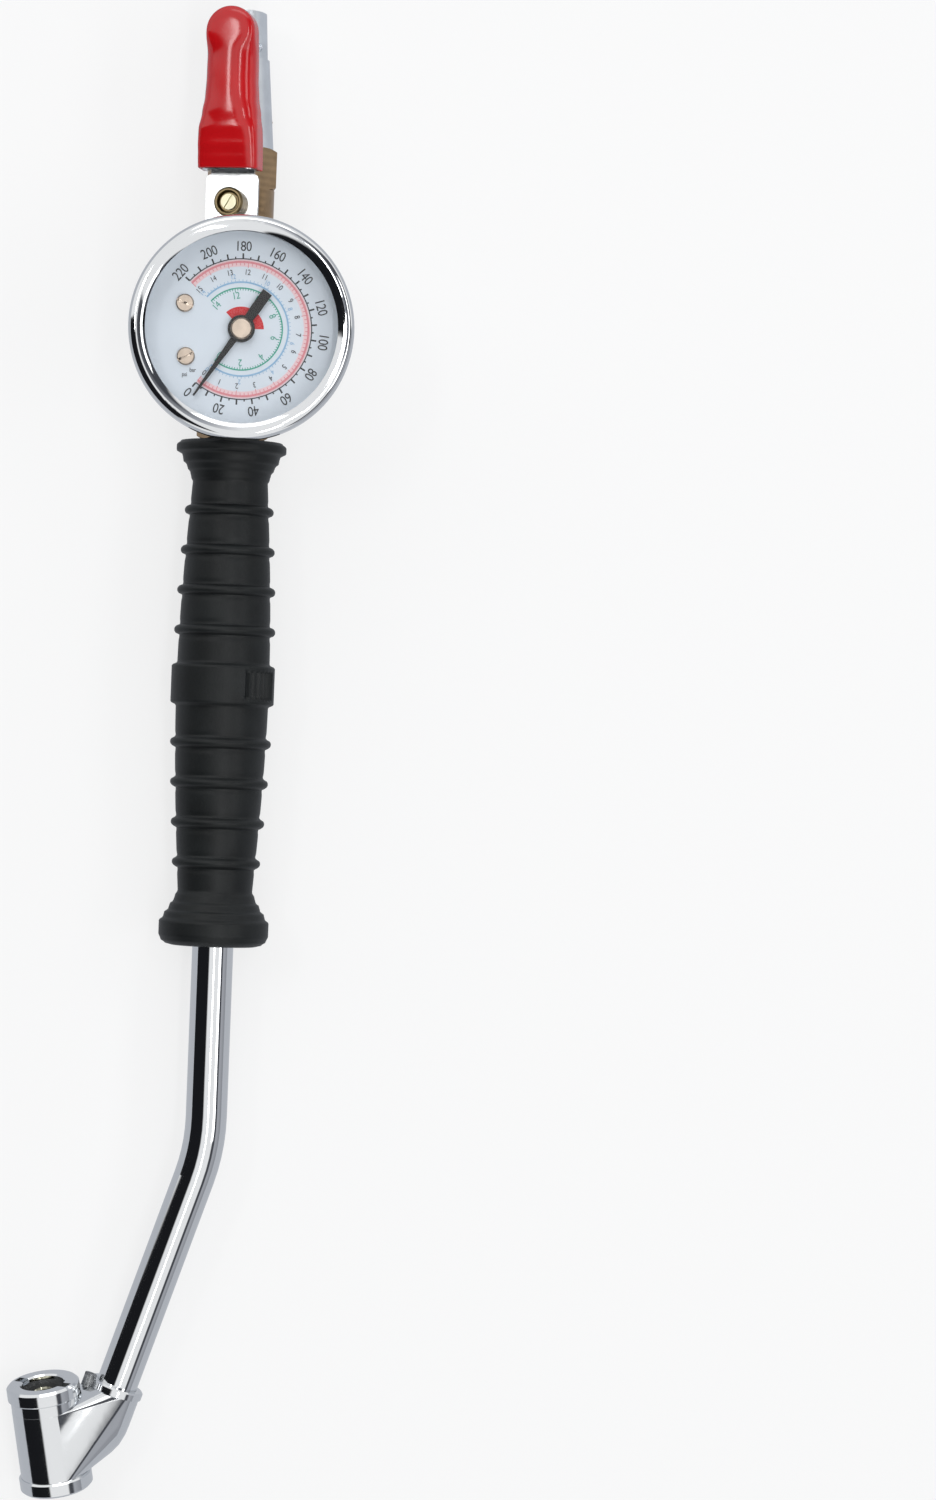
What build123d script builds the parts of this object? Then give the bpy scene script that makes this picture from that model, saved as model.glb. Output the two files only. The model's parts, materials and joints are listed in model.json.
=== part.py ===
from build123d import *
import os
from math import acos, atan2, cos, degrees, pi, radians, sin, sqrt, tan

# Tyre inflator gauge, lying on its back. Y runs up the handle towards the trigger,
# Z comes out of the dial, and the tool axis is the centre line of the tube in the grip.
# The dial's centre is at Y = 0 until the whole is moved to its base at the end.

# Clearances between pieces
fit_gap = 0.05
running_gap = 0.06
free_gap = 0.3

# Bent tube
tube_radius = 6.35
tube_wall = 1.2
tube_top_y = -12.0
bend_y = -250.3
bend_angle = 18.6
bend_turn = 12.75
bend_radius = 60.0
tube_lower_length = 78.5
socket_depth = 11.0

# Rubber grip, just below the gauge's case
grip_length = 155.6
grip_case_gap = 1.0
flange_radius = 17.0
waist_radius = 11.5
belly_radius = 14.3
band_radius = 16.0
band_top_y = -101.1
band_bottom_y = -113.4
rib_height = 1.4
rib_width = 2.0
rib_pitch = 12.35
upper_rib_y = -53.5
lower_rib_y = -125.2
ribs_each_side = 4
serration_count = 7
serration_depth = 0.8
serration_radius = 0.7
serration_start = 28.0
serration_step = 7.0
upper_flare_height = 13.0
lower_flare_height = 17.0
upper_flare = (
    # radius below the flange's, distance from the end
    (1.2, 0.0), (0.0, 1.2), (0.0, 3.4), (0.9, 4.3), (2.0, 4.3), (2.0, 6.2),
    (3.4, 6.8), (3.4, 8.8), (4.6, 9.6), (4.6, 11.6),
)
lower_flare = (
    (4.4, 15.4), (4.4, 13.4), (3.0, 12.6), (3.0, 10.8), (1.4, 10.2), (1.4, 8.6),
    (0.0, 7.8), (0.0, 3.4), (0.8, 1.4), (2.6, 0.2), (4.0, 0.0),
)
grip_swell_reach = 1.0
grip_bore_chamfer = 0.6
serration_margin = 2.0

# Head casting behind the gauge
head_radius = 11.0
head_bottom_y = -24.0
head_top_y = 33.0
head_bore = 3.0
boss_radius = 9.5
boss_top_z = 11.5
tube_nut_height = 7.5
hex_chamfer = 0.9
head_chamfer = 0.8
boss_back_step = 1.2
boss_front_z = 2.0
stem_passage_radius = 2.0
tube_nut_flats = 19.0

# Gauge case, bezel and lens
gauge_side = 1.4
bezel_radius = 34.0
bezel_round = 2.6
bezel_round_middle = 0.75
bezel_foot_round = 1.0
bezel_lip_drop = 0.4
case_back_edge = 2.0
case_back_cut = 0.6
case_inner_edge = 1.0
bezel_skirt = 2.8
bezel_lip = 5.0
bezel_lip_radius = bezel_radius - bezel_lip
case_radius = bezel_radius - bezel_skirt
case_wall = 1.2
case_back_z = 14.5
case_back_thickness = 1.5
case_rim_z = 34.5
grip_top_y = -(case_radius + grip_case_gap)
grip_bottom_y = grip_top_y - grip_length
bezel_bottom_z = 30.2
bezel_front_z = 38.5
gasket_thickness = 0.6
gasket_width = 1.5
lens_thickness = 2.0
lens_edge_gap = 0.4

# Dial
dial_z = 29.0
dial_thickness = 0.8
dial_radius = case_radius - case_wall - free_gap
dial_hole_radius = 2.2
print_thickness = 0.1
scale_start = 231.9
scale_step = 24.3
scale_steps = 11
scale_parts = 4
scale_inner_radius = 21.1
scale_outer_radius = 22.6
scale_line = 0.35
pink_band_radius = 20.3
pink_band_width = 0.6
blue_band_radius = 14.2
blue_band_width = 0.5
green_band_radius = 12.4
green_band_width = 0.4
red_sector_radius = 6.8
red_sector_start = 2.2
red_sector_angle = 132.0
screw_place_radius = 18.7
screw_angles = (157.6, 208.5)
screw_head_radius = 2.7
screw_head_height = 1.0
screw_shank_radius = 1.2
screw_length = 5.0
post_radius = 1.6

# Pointer
pointer_z = 30.6
pointer_thickness = 0.6
pointer_angle = 236.5
pointer_length = 24.9
pointer_tail = 13.6
pointer_tail_width = 3.2
pointer_root_width = 2.4
pointer_tip_width = 0.5
pointer_hub_radius = 4.1
pointer_cap_radius = 3.3
pointer_cap_height = 1.3
pointer_travel = 262.0

# Gauge stem, spring tube and movement
stem_radius = 6.5
stem_bottom_z = 4.0
stem_flats = 17.0
stem_neck_radius = 7.0
stem_flange_radius = 9.0
stem_flange_height = 2.0
bourdon_edge_gap = 6.2
bourdon_radius = dial_radius - bourdon_edge_gap
bourdon_width = 6.5
bourdon_depth = 2.8
bourdon_start = 300.0
bourdon_sweep = 248.0
bourdon_z = 23.0
plate_thickness = 0.8
lower_plate_z = 18.0
upper_plate_z = 26.0
pillar_radius = 0.9
pillar_places = ((-14.0, 5.6), (3.3, -5.6), (8.4, 5.0))
gear_module = 0.4
pinion_teeth = 12
sector_teeth = 72
sector_cut_teeth = 13
sector_spare_teeth = 2
tooth_addendum = 0.28
tooth_dedendum = 0.42
tooth_backlash = 0.12
pressure_angle = 20.0
sector_turn = 120.0
gear_z = 20.6
gear_thickness = 1.2
arbor_radius = 0.9
sector_pin_radius = 1.0
sector_hub_radius = 2.2
sector_tail = 4.4
link_pin_radius = 0.6
link_thickness = 0.8
link_eye_radius = 1.3
tip_pin_radius_place = 20.2

# Trigger head: everything above the gauge is turned about the tool axis
head_turn = -15.5
valve_foot_height = 0.8
bleed_passage_radius = 1.6
bleed_passage_end = 5.0
bleed_hole_floor = 4.0
valve_spigot_radius = 7.5
valve_spigot_length = 10.0
valve_round_radius = 10.2
valve_flats = 19.0
valve_hex_y = 45.7
handle_bottom_y = 58.4
handle_top_y = 100.4
handle_step_y = 86.0
handle_bottom_size = (9.4, 9.4)
handle_step_size = (7.1, 8.4)
handle_top_size = (5.7, 7.8)
top_spigot_radius = 5.5
top_spigot_length = 5.0
air_bore = 2.5
inlet_bore = 4.3
inlet_depth = 11.0
inlet_passage_back = 2.0
outlet_bore = 1.4
outlet_passage_front = 3.9
dimple_y = 89.3
dimple_radius = 1.3
dimple_floor = 5.6
dimple_angle = 50.0

# Bracket, pivot, trigger and its vinyl
bracket_half_width = 8.2
bracket_thickness = 1.5
bracket_bottom_y = 34.4
bracket_shoulder_y = 49.2
ear_half_width = 6.85
ear_top_y = 57.8
ear_front_z = 16.0
pivot_y = 54.3
pivot_z = 13.6
pivot_radius = 1.5
trigger_wall = 1.2
trigger_bottom_y = 50.0
trigger_top_y = 98.4
trigger_travel = 7.0
vinyl_wall = 1.1
vinyl_lip = 0.5
vinyl_bottom_y = 50.7
trigger_stations = (
    # height, half width, front, back, corner radius of the steel channel
    (50.0, 8.35, 18.3, 11.0, 2.6),
    (57.0, 8.35, 19.5, 11.0, 3.0),
    (64.0, 8.10, 20.4, 12.4, 3.6),
    (70.0, 7.30, 20.8, 13.0, 4.2),
    (76.0, 6.75, 20.8, 13.8, 4.4),
    (98.4, 6.55, 20.8, 15.6, 4.4),
)

# Inlet valve in the handle
plunger_y = 69.0
plunger_radius = 1.5
plunger_bush_radius = 4.0
bush_shank_radius = 3.2
bush_seat_depth = 0.8
plunger_bush_collar = 1.4
poppet_radius = 3.6
poppet_height = 2.0
poppet_chamber_radius = 4.6
poppet_seat_z = 2.0
poppet_seal_thickness = 0.8
cap_radius = 5.2
cap_depth = 2.6
cap_flats = 9.0
cap_chamfer = grip_bore_chamfer
cap_slot = 1.2
rest_gap = 0.1
chamber_back_z = -6.6

# Bleed valve in front of the valve body
bleed_y = 40.3
bleed_head_chamfer = grip_bore_chamfer
bleed_seat_depth = 0.6
bleed_button_drop = 0.5
bleed_button_height = 1.9
bleed_slot = 0.7
bleed_slot_depth = 0.7
bleed_slot_angle = 60.0
bleed_spring_inset = 0.6
bleed_stem_end = 2.4
bleed_thread_end = 4.2
bleed_pit_edge = 1.0
spring_end_gap = 0.2
bleed_radius = 4.58
bleed_front_z = 15.2
bleed_thread_radius = 3.0
bleed_button_radius = 2.4
bleed_stem_radius = 1.1
bleed_travel = 1.2
bleed_recess = 1.4

# Twin-ended chuck
chuck_angle = 28.5
chuck_turn = 29.8
chuck_side = 14.9
chuck_drop = 20.9
chuck_length = 34.0
chuck_radius = 10.5
chuck_neck_radius = 9.6
chuck_chamber_radius = 6.0
chuck_boss_radius = 8.0
chuck_boss_straight = 8.0
chuck_boss_end = 14.0
chuck_boss_middle = (6.6, -16.0)
boss_flat_radius = 2.4
chuck_collar_radius = 8.6
chuck_collar_height = 2.4
web_half_height = 10.7
web_half_width = 7.0
web_start_corner = 6.9
web_side_corner = 9.0
web_edge_gap = 0.4
plug_side = 9.1
plug_radius = 1.9
plug_thread_radius = 1.3
plug_top_z = 0.9
plug_bottom_z = -9.0
plug_seat_z = -3.2
foot_ring_radius = 11.25
foot_ring_height = 4.6
foot_lip = 2.2
foot_opening_radius = 6.6
foot_seal_radius = 7.9
foot_seal_thickness = 2.9
foot_seal_hole = 3.9
foot_notch_width = 3.0
core_disc_radius = 5.0
core_disc_thickness = 1.6
core_pin_radius = 2.0
core_travel = 1.8
core_nose_drop = 2.6

# Springs
spring_wire = 0.5


def face_of(*points):
    return make_face(Polyline(*points, close=True))


def turned_z(*points):
    # Points are (radius, height) pairs around the Z axis.
    return revolve(Plane.XZ * face_of(*points), Axis.Z)


def turned_y(*points):
    # Points are (radius, Y) pairs around the Y axis.
    return revolve(face_of(*points), Axis.Y)


def rod_z(radius, low, high, x=0.0, y=0.0):
    return Pos(x, y, (low + high) / 2) * Cylinder(radius, high - low)


def rod_y(radius, low, high, x=0.0, z=0.0):
    return Pos(x, (low + high) / 2, z) * Rot(90, 0, 0) * Cylinder(radius, high - low)


def rod_x(radius, low, high, y=0.0, z=0.0):
    return Pos((low + high) / 2, y, z) * Rot(0, 90, 0) * Cylinder(radius, high - low)


def block(x0, x1, y0, y1, z0, z1):
    middle = Pos((x0 + x1) / 2, (y0 + y1) / 2, (z0 + z1) / 2)
    return middle * Box(x1 - x0, y1 - y0, z1 - z0)


def hex_radius(flats):
    return flats / 2 / cos(radians(30))


def hex_z(flats, low, high):
    return Pos(0, 0, low) * extrude(RegularPolygon(hex_radius(flats), 6), high - low)


def hex_y(flats, low, high):
    # Two flats face +Z and -Z, as on a bar set against the bracket.
    bar = extrude(RegularPolygon(hex_radius(flats), 6), high - low)
    return Pos(0, high, 0) * Rot(90, 0, 0) * bar


def ring_z(outer, inner, low, high):
    return rod_z(outer, low, high) - rod_z(inner, low - 1, high + 1)


def coil(radius, low, high, turns):
    # A compression spring along Z, its ends cut square by its seats.
    path = Helix((high - low) / turns, high - low, radius)
    start = path @ 0
    section = Plane(origin=start, z_dir=path % 0) * Circle(spring_wire / 2)
    return Pos(0, 0, low) * sweep(section, path)


def polar(radius, angle):
    return radius * cos(radians(angle)), radius * sin(radians(angle))


def arc_band(inner, outer, start, sweep_angle, low, thickness):
    # A flat annular sector, drawn as a face with two arcs.
    a = polar(inner, start)
    b = polar(outer, start)
    c = polar(outer, start + sweep_angle / 2)
    d = polar(outer, start + sweep_angle)
    e = polar(inner, start + sweep_angle)
    f = polar(inner, start + sweep_angle / 2)
    outline = Line(a, b) + ThreePointArc(b, c, d) + Line(d, e) + ThreePointArc(e, f, a)
    return Pos(0, 0, low) * extrude(make_face(outline), thickness)


# Bent tube and its frame at the chuck

def bend_frame():
    # Origin where the two straight axes would meet; local -Y runs down the lower leg.
    return Pos(0, bend_y, 0) * Rot(0, -bend_turn, 0) * Rot(0, 0, -bend_angle)


def chuck_frame():
    # Origin on the tube's axis at the socket's face; local Z runs up the tube and
    # local X points from the tube towards the chuck's barrel.
    down = bend_frame() * Pos(0, -tube_lower_length, 0) * Rot(-90, 0, 0)
    return down * Rot(0, 0, 180 + chuck_turn)


def tube_path():
    start = Vector(0, tube_top_y, 0)
    corner = Vector(0, bend_y, 0)
    end = (bend_frame() * Pos(0, -tube_lower_length - socket_depth + 0.5, 0)).position
    return FilletPolyline(start, corner, end, radius=bend_radius)


def make_tube():
    path = tube_path()
    mouth = Plane(origin=path @ 0, z_dir=path % 0)
    outside = sweep(mouth * Circle(tube_radius), path)
    inside = sweep(mouth * Circle(tube_radius - tube_wall), path)
    return outside - inside


# Grip

def belly_at(y):
    # The barrel's radius: a shallow arch from waist to waist over the band.
    middle = (band_top_y + band_bottom_y) / 2
    half = (grip_length - upper_flare_height - lower_flare_height) / 2
    half += grip_swell_reach
    share = min(abs(y - middle) / half, 1.0)
    return waist_radius + (belly_radius - waist_radius) * cos(share * pi / 2)


def rib_profile(y):
    base = belly_at(y)
    half = rib_width / 2
    top = base + rib_height
    return [
        (base, y + half),
        (top - 0.4, y + half * 0.6),
        (top, y + half * 0.2),
        (top, y - half * 0.2),
        (top - 0.4, y - half * 0.6),
        (base, y - half),
    ]


def flare_points(steps, end_y, direction):
    return [(flange_radius - drop, end_y + direction * distance) for drop, distance in steps]


def grip_profile():
    bore = tube_radius + fit_gap
    top = flare_points(upper_flare, grip_top_y, -1)
    top.append((waist_radius, grip_top_y - upper_flare_height))
    ribs = []
    for row in range(ribs_each_side):
        ribs += rib_profile(upper_rib_y - row * rib_pitch)
    chamfer = grip_bore_chamfer
    ribs += [
        (belly_radius, band_top_y + chamfer),
        (band_radius - chamfer, band_top_y),
        (band_radius, band_top_y - chamfer),
        (band_radius, band_bottom_y + chamfer),
        (band_radius - chamfer, band_bottom_y),
        (belly_radius, band_bottom_y - chamfer),
    ]
    for row in range(ribs_each_side):
        ribs += rib_profile(lower_rib_y - row * rib_pitch)
    bottom = [(waist_radius, grip_bottom_y + lower_flare_height)]
    bottom += flare_points(lower_flare, grip_bottom_y, 1)
    return [(bore, grip_top_y)] + top + ribs + bottom + [(bore, grip_bottom_y)]


def make_grip():
    grip = turned_y(*grip_profile())
    low, high = band_bottom_y + serration_margin, band_top_y - serration_margin
    depth = band_radius + serration_radius - serration_depth
    for index in range(serration_count):
        slot = rod_y(serration_radius, low, high, z=depth)
        grip -= Rot(0, serration_start + index * serration_step, 0) * slot
    return grip


# Head casting behind the gauge

def make_head_casting():
    barrel = rod_y(head_radius, head_bottom_y, head_top_y)
    rims = [edge for edge in barrel.edges() if edge.geom_type == GeomType.CIRCLE]
    barrel = chamfer(rims, head_chamfer)
    boss = Pos(gauge_side, 0, 0) * rod_z(boss_radius, 0, boss_top_z)
    seat = block(-boss_radius + gauge_side, boss_radius + gauge_side, -boss_radius,
                 boss_radius, -head_radius + boss_back_step, boss_front_z)
    body = barrel + boss + seat
    body -= rod_y(tube_radius + fit_gap, head_bottom_y - 1, tube_top_y + free_gap)
    body -= rod_y(head_bore, tube_top_y - 1, head_top_y)
    body -= rod_y(valve_spigot_radius + fit_gap, head_top_y - valve_spigot_length - free_gap,
                  head_top_y + 1)
    body -= Pos(gauge_side, 0, 0) * rod_z(stem_radius + fit_gap, stem_bottom_z - free_gap,
                                          boss_top_z + 1)
    body -= Pos(gauge_side, 0, 0) * rod_z(stem_passage_radius, 0, stem_bottom_z)
    return body


def make_tube_nut():
    high = head_bottom_y
    low = high - tube_nut_height
    nut = hex_y(tube_nut_flats, low, high)
    round_off = turned_y(
        (0, low), (tube_nut_flats / 2, low), (hex_radius(tube_nut_flats), low + hex_chamfer),
        (hex_radius(tube_nut_flats), high), (0, high))
    return (nut & round_off) - rod_y(tube_radius + fit_gap, low - 1, high + 1)


# Gauge

def make_case():
    inner = case_radius - case_wall
    shell = turned_z(
        (stem_neck_radius + fit_gap, case_back_z),
        (case_radius - case_back_edge, case_back_z),
        (case_radius - case_back_cut, case_back_z + case_back_cut),
        (case_radius, case_back_z + case_back_edge),
        (case_radius, case_rim_z),
        (inner, case_rim_z),
        (inner, case_back_z + case_back_thickness + case_inner_edge),
        (inner - case_inner_edge, case_back_z + case_back_thickness),
        (stem_neck_radius + fit_gap, case_back_z + case_back_thickness),
    )
    return shell


def lens_low():
    return case_rim_z + gasket_thickness


def make_bezel():
    skirt = case_radius + fit_gap
    lip_z = lens_low() + lens_thickness
    middle = (lip_z + bezel_front_z) / 2
    outline = (
        Line((skirt, bezel_bottom_z), (bezel_radius - bezel_foot_round, bezel_bottom_z))
        + ThreePointArc((bezel_radius - bezel_foot_round, bezel_bottom_z),
                        (bezel_radius - 0.3 * bezel_foot_round, bezel_bottom_z + 0.3 * bezel_foot_round),
                        (bezel_radius, bezel_bottom_z + bezel_foot_round))
        + Line((bezel_radius, bezel_bottom_z + bezel_foot_round), (bezel_radius, bezel_front_z - bezel_round))
        + ThreePointArc((bezel_radius, bezel_front_z - bezel_round),
                        (bezel_radius - bezel_round_middle, bezel_front_z - bezel_round_middle),
                        (bezel_radius - bezel_round, bezel_front_z))
        + ThreePointArc((bezel_radius - bezel_round, bezel_front_z),
                        ((bezel_radius - bezel_round + bezel_lip_radius) / 2, middle + 0.35),
                        (bezel_lip_radius, lip_z + bezel_lip_drop))
        + Line((bezel_lip_radius, lip_z + bezel_lip_drop), (bezel_lip_radius, lip_z))
        + Line((bezel_lip_radius, lip_z), (skirt, lip_z))
        + Line((skirt, lip_z), (skirt, bezel_bottom_z))
    )
    return revolve(Plane.XZ * make_face(outline), Axis.Z)


def make_gasket():
    outer = case_radius - 0.1
    return ring_z(outer, outer - gasket_width, case_rim_z, lens_low())


def make_lens():
    return rod_z(case_radius - lens_edge_gap, lens_low(), lens_low() + lens_thickness)


def make_dial():
    plate = rod_z(dial_radius, dial_z, dial_z + dial_thickness)
    plate -= rod_z(dial_hole_radius, dial_z - 1, dial_z + 2)
    for angle in screw_angles:
        x, y = polar(screw_place_radius, angle)
        plate -= rod_z(screw_shank_radius + 0.2, dial_z - 1, dial_z + 2, x, y)
    return plate


def print_z():
    return dial_z + dial_thickness


def make_scale_ticks():
    # One fine arc with a long stroke at each number and short ones between.
    total = scale_steps * scale_step
    marks = arc_band(scale_inner_radius, scale_inner_radius + 0.3, scale_start, total, print_z(),
                     print_thickness)
    count = scale_steps * scale_parts
    for index in range(count + 1):
        long_mark = index % scale_parts == 0
        outer = scale_outer_radius if long_mark else scale_outer_radius - 0.7
        half = degrees(scale_line / 2 / scale_inner_radius)
        angle = scale_start + index * total / count
        marks += arc_band(scale_inner_radius + 0.2, outer, angle - half, 2 * half, print_z(),
                          print_thickness)
    return marks


def make_band(radius, width):
    total = scale_steps * scale_step
    half = width / 2
    return arc_band(radius - half, radius + half, scale_start, total, print_z(), print_thickness)


def make_red_sector():
    return arc_band(dial_hole_radius + free_gap, red_sector_radius, red_sector_start,
                    red_sector_angle, print_z(), print_thickness)


def make_dial_screws():
    screws = []
    for angle in screw_angles:
        x, y = polar(screw_place_radius, angle)
        top = print_z() + screw_head_height
        head = rod_z(screw_head_radius, print_z(), top)
        rim = head.edges().filter_by(GeomType.CIRCLE).sort_by(Axis.Z)[-1]
        head = chamfer(rim, 0.35)
        head -= Rot(0, 0, angle) * block(-3, 3, -0.35, 0.35, top - 0.5, top + 1)
        shank = rod_z(screw_shank_radius, print_z() - screw_length, print_z())
        screws.append(Pos(x, y, 0) * (head + shank))
    return Compound(children=screws)


def make_dial_posts():
    posts = []
    for angle in screw_angles:
        x, y = polar(screw_place_radius, angle)
        post = rod_z(post_radius, case_back_z + case_back_thickness, dial_z)
        post -= rod_z(screw_shank_radius + fit_gap, dial_z - screw_length, dial_z + 1)
        posts.append(Pos(x, y, 0) * post)
    return Compound(children=posts)


def make_pointer():
    # Drawn along +X, then turned to the rest reading.
    tail_half = pointer_tail_width / 2
    blade = face_of(
        (0, -pointer_root_width / 2),
        (pointer_length, -pointer_tip_width / 2),
        (pointer_length, pointer_tip_width / 2),
        (0, pointer_root_width / 2),
    )
    tail = face_of(
        (0, -pointer_root_width / 2), (0, pointer_root_width / 2),
        (-pointer_tail * 0.55, tail_half), (-pointer_tail, tail_half),
        (-pointer_tail, -tail_half), (-pointer_tail * 0.55, -tail_half),
    )
    flat = Pos(0, 0, pointer_z) * extrude(blade + tail, pointer_thickness)
    hub = rod_z(pointer_hub_radius, pointer_z, pointer_z + pointer_thickness + 0.5)
    hub -= rod_z(pointer_cap_radius + fit_gap, pointer_z + pointer_thickness,
                 pointer_z + 3)
    body = flat + hub
    body -= rod_z(arbor_radius + 0.02, pointer_z - 1, pointer_z + 3)
    return Rot(0, 0, pointer_angle) * body


def make_pointer_cap():
    low = pointer_z + pointer_thickness
    high = low + pointer_cap_height
    cap = turned_z(
        (0, low), (pointer_cap_radius, low), (pointer_cap_radius, high - 0.5),
        (pointer_cap_radius - 0.5, high), (0, high))
    return cap - rod_z(arbor_radius + 0.02, low - 1, low + 0.7)


# Movement behind the dial

def make_stem():
    flange_z = case_back_z + case_back_thickness
    body = rod_z(stem_radius, stem_bottom_z, boss_top_z)
    body += hex_z(stem_flats, boss_top_z, case_back_z)
    body += rod_z(stem_neck_radius, case_back_z, flange_z)
    body += rod_z(stem_flange_radius, flange_z, flange_z + stem_flange_height)
    arm = block(0, bourdon_radius + bourdon_depth / 2, -4.0, 4.0, flange_z,
                flange_z + stem_flange_height)
    root = block(bourdon_radius - 3.5, bourdon_radius + bourdon_depth / 2, -4.0, 0.0,
                 flange_z, bourdon_z - bourdon_width / 2)
    body += Rot(0, 0, bourdon_start) * (arm + root)
    return body - rod_z(1.6, stem_bottom_z - 1, flange_z + 0.5)


def make_bourdon_tube():
    # A flattened tube bent to a C, closed by its tip block.
    half = bourdon_depth / 2
    section = Pos(bourdon_radius, 0, 0) * RectangleRounded(
        bourdon_depth, bourdon_width, half - 0.05)
    hollow = Pos(bourdon_radius, 0, 0) * RectangleRounded(
        bourdon_depth - 0.8, bourdon_width - 0.8, half - 0.45)
    wall = Plane.XZ * (section - hollow)
    tube = revolve(wall, Axis.Z, revolution_arc=-bourdon_sweep)
    return Pos(0, 0, bourdon_z) * Rot(0, 0, bourdon_start) * tube


def tip_pin_place():
    return polar(tip_pin_radius_place, bourdon_start - bourdon_sweep)


def make_tip_block():
    # Closes the spring tube and carries the link's far pin below it.
    low = bourdon_z - bourdon_width / 2
    block_part = block(tip_pin_radius_place - 1.6, bourdon_radius + bourdon_depth / 2,
                       -2.2, 0.0, bourdon_z + 0.9, low + bourdon_width)
    tip_angle = bourdon_start - bourdon_sweep
    x, y = tip_pin_place()
    ear = rod_z(1.5, bourdon_z + 0.9, low + bourdon_width, x, y)
    pin = rod_z(link_pin_radius, gear_z + gear_thickness - 0.2, bourdon_z + 1.2, x, y)
    return Rot(0, 0, tip_angle) * block_part + ear + pin


def sector_pivot():
    return polar(gear_module * (pinion_teeth + sector_teeth) / 2, sector_turn)


def involute(angle):
    return tan(angle) - angle


def tooth_half_angle(teeth, radius):
    # Half the tooth's angle at a radius, for an involute flank less its backlash.
    pitch_radius = gear_module * teeth / 2
    base = pitch_radius * cos(radians(pressure_angle))
    pitch_half = (pi * gear_module - tooth_backlash) / 4 / pitch_radius
    pitch_half += involute(radians(pressure_angle))
    if radius <= base:
        return pitch_half
    return pitch_half - involute(acos(base / radius))


def tooth_points(teeth, angle):
    # One tooth's outline from root to root, centred on an angle in degrees.
    pitch_radius = gear_module * teeth / 2
    outer = pitch_radius + tooth_addendum
    root = pitch_radius - tooth_dedendum
    base = pitch_radius * cos(radians(pressure_angle))
    foot = [root, base] if base > root + 0.05 else [root]
    radii = foot + [(foot[-1] + outer) / 2, outer]
    rising = []
    falling = []
    for radius in radii:
        half = degrees(tooth_half_angle(teeth, radius))
        rising.append(polar(radius, angle - half))
        falling.insert(0, polar(radius, angle + half))
    return rising + falling


def make_pinion():
    points = []
    for index in range(pinion_teeth):
        points += tooth_points(pinion_teeth, 360 * index / pinion_teeth)
    gear = Pos(0, 0, gear_z - 0.3) * extrude(face_of(*points), gear_thickness + 0.6)
    # A pinion tooth's gap faces the sector's pivot at rest.
    return Rot(0, 0, sector_turn + 180 / pinion_teeth) * gear


def make_arbor():
    # The pinion is cut on the arbor that carries the pointer.
    low = lower_plate_z + 0.1
    high = pointer_z + pointer_thickness + 0.6
    return rod_z(arbor_radius, low, high) + make_pinion()


def make_sector_gear():
    # Drawn about its pivot with its first tooth on +X, towards the pinion.
    pitch = 360 / sector_teeth
    first = -sector_spare_teeth
    points = []
    for index in range(first, first + sector_cut_teeth):
        points += tooth_points(sector_teeth, index * pitch)
    rim = gear_module * sector_teeth / 2 - tooth_dedendum - 1.8
    start = (first - 0.5) * pitch
    end = (first + sector_cut_teeth - 0.5) * pitch
    outline = [polar(rim, start)] + points + [polar(rim, end)]
    spokes = [polar(rim * share, angle) for share, angle in ((0.16, start), (0.16, end))]
    plate = face_of(*outline, spokes[1], spokes[0])
    plate += Circle(sector_hub_radius)
    tail_angle = 90 - (sector_turn + 180)
    tail_x, tail_y = polar(sector_tail, tail_angle)
    arm = make_hull(
        (Pos(0, 0) * Circle(sector_hub_radius)).edges()
        + (Pos(tail_x, tail_y) * Circle(link_eye_radius)).edges())
    plate += arm
    solid = extrude(plate, gear_thickness)
    solid += rod_z(link_pin_radius, 0, gear_thickness + link_thickness + 0.2, tail_x, tail_y)
    solid += rod_z(sector_pin_radius, lower_plate_z + 0.1 - gear_z,
                   upper_plate_z + plate_thickness - gear_z)
    x, y = sector_pivot()
    return Pos(x, y, gear_z) * Rot(0, 0, sector_turn + 180) * solid


def sector_tail_place():
    x, y = sector_pivot()
    return x, y + sector_tail


def make_link():
    x0, y0 = sector_tail_place()
    x1, y1 = tip_pin_place()
    low = gear_z + gear_thickness + 0.1
    ends = [Pos(x0, y0) * Circle(link_eye_radius), Pos(x1, y1) * Circle(link_eye_radius)]
    length = sqrt((x1 - x0) ** 2 + (y1 - y0) ** 2)
    angle = degrees(atan2(y1 - y0, x1 - x0))
    bar = Pos((x0 + x1) / 2, (y0 + y1) / 2) * Rot(0, 0, angle) * Rectangle(length, 1.6)
    shape = ends[0] + ends[1] + bar
    shape -= Pos(x0, y0) * Circle(link_pin_radius + running_gap)
    shape -= Pos(x1, y1) * Circle(link_pin_radius + running_gap)
    return Pos(0, 0, low) * extrude(shape, link_thickness)


def plate_outline():
    x, y = sector_pivot()
    places = [(0.0, 0.0, 3.0), (x, y, 3.0)]
    places += [(px, py, pillar_radius + 0.8) for px, py in pillar_places]
    rings = [(Pos(px, py) * Circle(radius)).edges()[0] for px, py, radius in places]
    return make_hull(rings)


def make_plate(low):
    x, y = sector_pivot()
    plate = Pos(0, 0, low) * extrude(plate_outline(), plate_thickness)
    plate -= rod_z(arbor_radius + running_gap, low - 1, low + 2)
    plate -= rod_z(sector_pin_radius + running_gap, low - 1, low + 2, x, y)
    return plate


def make_pillars():
    low = lower_plate_z + plate_thickness
    return Compound(children=[rod_z(pillar_radius, low, upper_plate_z, x, y)
                              for x, y in pillar_places])


# Trigger head, drawn facing +Z and turned about the tool axis at the end

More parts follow.
